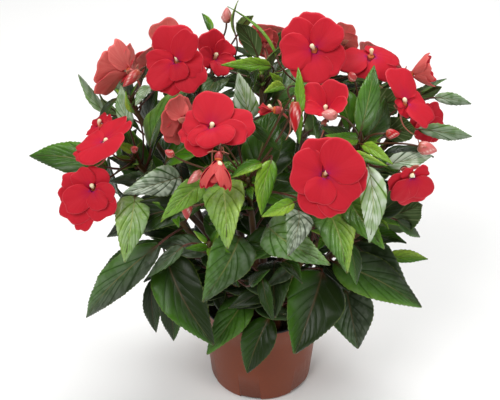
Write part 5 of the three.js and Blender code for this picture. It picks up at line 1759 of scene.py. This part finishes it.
def scatter_crumbs():
    """Loose crumbs, half sunk in the surface, from a seeded sequence."""
    draw = draw_from(CRUMB_SEED)
    loose = Tissue([PEAT])
    for _ in range(CRUMBS):
        radius = CRUMB_SPREAD * math.sqrt(next(draw))
        bearing = TURN * next(draw)
        x, y = radius * math.cos(bearing), radius * math.sin(bearing)
        size = 0.7 + 1.3 * next(draw)
        middle = np.array([x, y, soil_level(radius) + crumb_height(x, y)])
        turn = TURN * next(draw)
        lean = np.array([math.cos(turn), math.sin(turn), 0.4]) * size
        line = [middle + lean * t for t in (-0.9, -0.5, 0.3, 0.8)]
        loose.stalk(line, [0.3 * size, 0.9 * size, size, 0.4 * size], 6, (0, 0, 0), PEAT)
    return loose.make("peat_crumbs", "soil", "soil")


soil = soil_body()
crumbs = scatter_crumbs()
soil.data.materials.append(PEAT)
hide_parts("soil")
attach(soil, "root")
print("soil faces:", len(soil.data.polygons), "faces of its loose crumbs:", len(crumbs.data.polygons))

# %% [markdown]
# The studio is plain: a pale floor, one large soft light in front on the left, a weaker one on the right,
# one above and behind that lights the edges, and an even room. Large lights keep the shadows between the
# leaves soft, and they give the wax its broad shine.

# %% Floor and light
FLOOR_HALF = 6.0


def studio_floor():
    material, tree = start_material("studio floor, pale matt paint")
    grain = add(tree, "ShaderNodeTexNoise", {"Scale": 40.0, "Detail": 2.0})
    paint = add(tree, "ShaderNodeMixRGB", {"Fac": grain.outputs["Fac"], "Color1": linear("#fbfbfa"),
                                           "Color2": linear("#fefefd")})
    matt = add(tree, "ShaderNodeBsdfPrincipled", {"Base Color": paint, "Roughness": 0.9})
    finish_material(tree, matt)
    mesh = bpy.data.meshes.new("studio_floor")
    corners = [(x * FLOOR_HALF, y * FLOOR_HALF, 0) for x, y in ((-1, -1), (1, -1), (1, 1), (-1, 1))]
    mesh.from_pydata(corners, [], [(0, 1, 2, 3)])
    mesh.materials.append(material)
    floor = put_in_scene("studio_floor", mesh)
    floor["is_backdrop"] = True


def soft_light(name, place, aim, width, height, power):
    lamp = bpy.data.lights.new(name, "AREA")
    lamp.shape = "RECTANGLE"
    lamp.size = width
    lamp.size_y = height
    lamp.energy = power
    light = put_in_scene(name, lamp)
    light.location = place
    light.rotation_euler = (Vector(aim) - Vector(place)).to_track_quat("-Z", "Y").to_euler()


PLANT_MIDDLE = (0, -0.02, 0.22)
studio_floor()
soft_light("key", (-0.9, -1.3, 1.9), PLANT_MIDDLE, 1.0, 1.0, 30)
soft_light("fill", (1.6, -1.0, 1.0), PLANT_MIDDLE, 0.9, 0.9, 9)
soft_light("top", (0.2, 0.7, 1.9), PLANT_MIDDLE, 1.0, 0.6, 26)
world = bpy.data.worlds.new("bright room")
world.use_nodes = True
background = world.node_tree.nodes["Background"]
background.inputs["Color"].default_value = linear("#ffffff")
background.inputs["Strength"].default_value = 0.24
bpy.context.scene.world = world
bpy.context.scene.view_settings.view_transform = "Standard"

# %% [markdown]
# The camera stands where the photographer's did: in front of the plant and above it, about 1 m away, and
# looks down by 34.7 degrees through a short telephoto lens.

# %% Camera
CAMERA_PLACE = (-0.011, -0.822, 0.779)
CAMERA_DOWN = 34.7
LENS_MM = 77.4
SENSOR_MM = 36
lens = bpy.data.cameras.new("camera")
lens.lens = LENS_MM
lens.sensor_width = SENSOR_MM
camera = put_in_scene("camera", lens)
camera.location = CAMERA_PLACE
camera.rotation_euler = (math.radians(90 - CAMERA_DOWN), 0, 0)
bpy.context.scene.camera = camera
print("the camera looks down by", CAMERA_DOWN, "degrees")

# %% [markdown]
# The looks are compared with the model that carries them: how far they grow past its box on each side is
# printed. The looks may not outgrow the model that carries them.

# %% Compare the sizes
visual_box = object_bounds()
for axis in range(3):
    grown = [(cad_box[0][axis] - visual_box[0][axis]) / MM, (visual_box[1][axis] - cad_box[1][axis]) / MM]
    print("XYZ"[axis], "grows by", [round(g, 1) for g in grown], "mm")
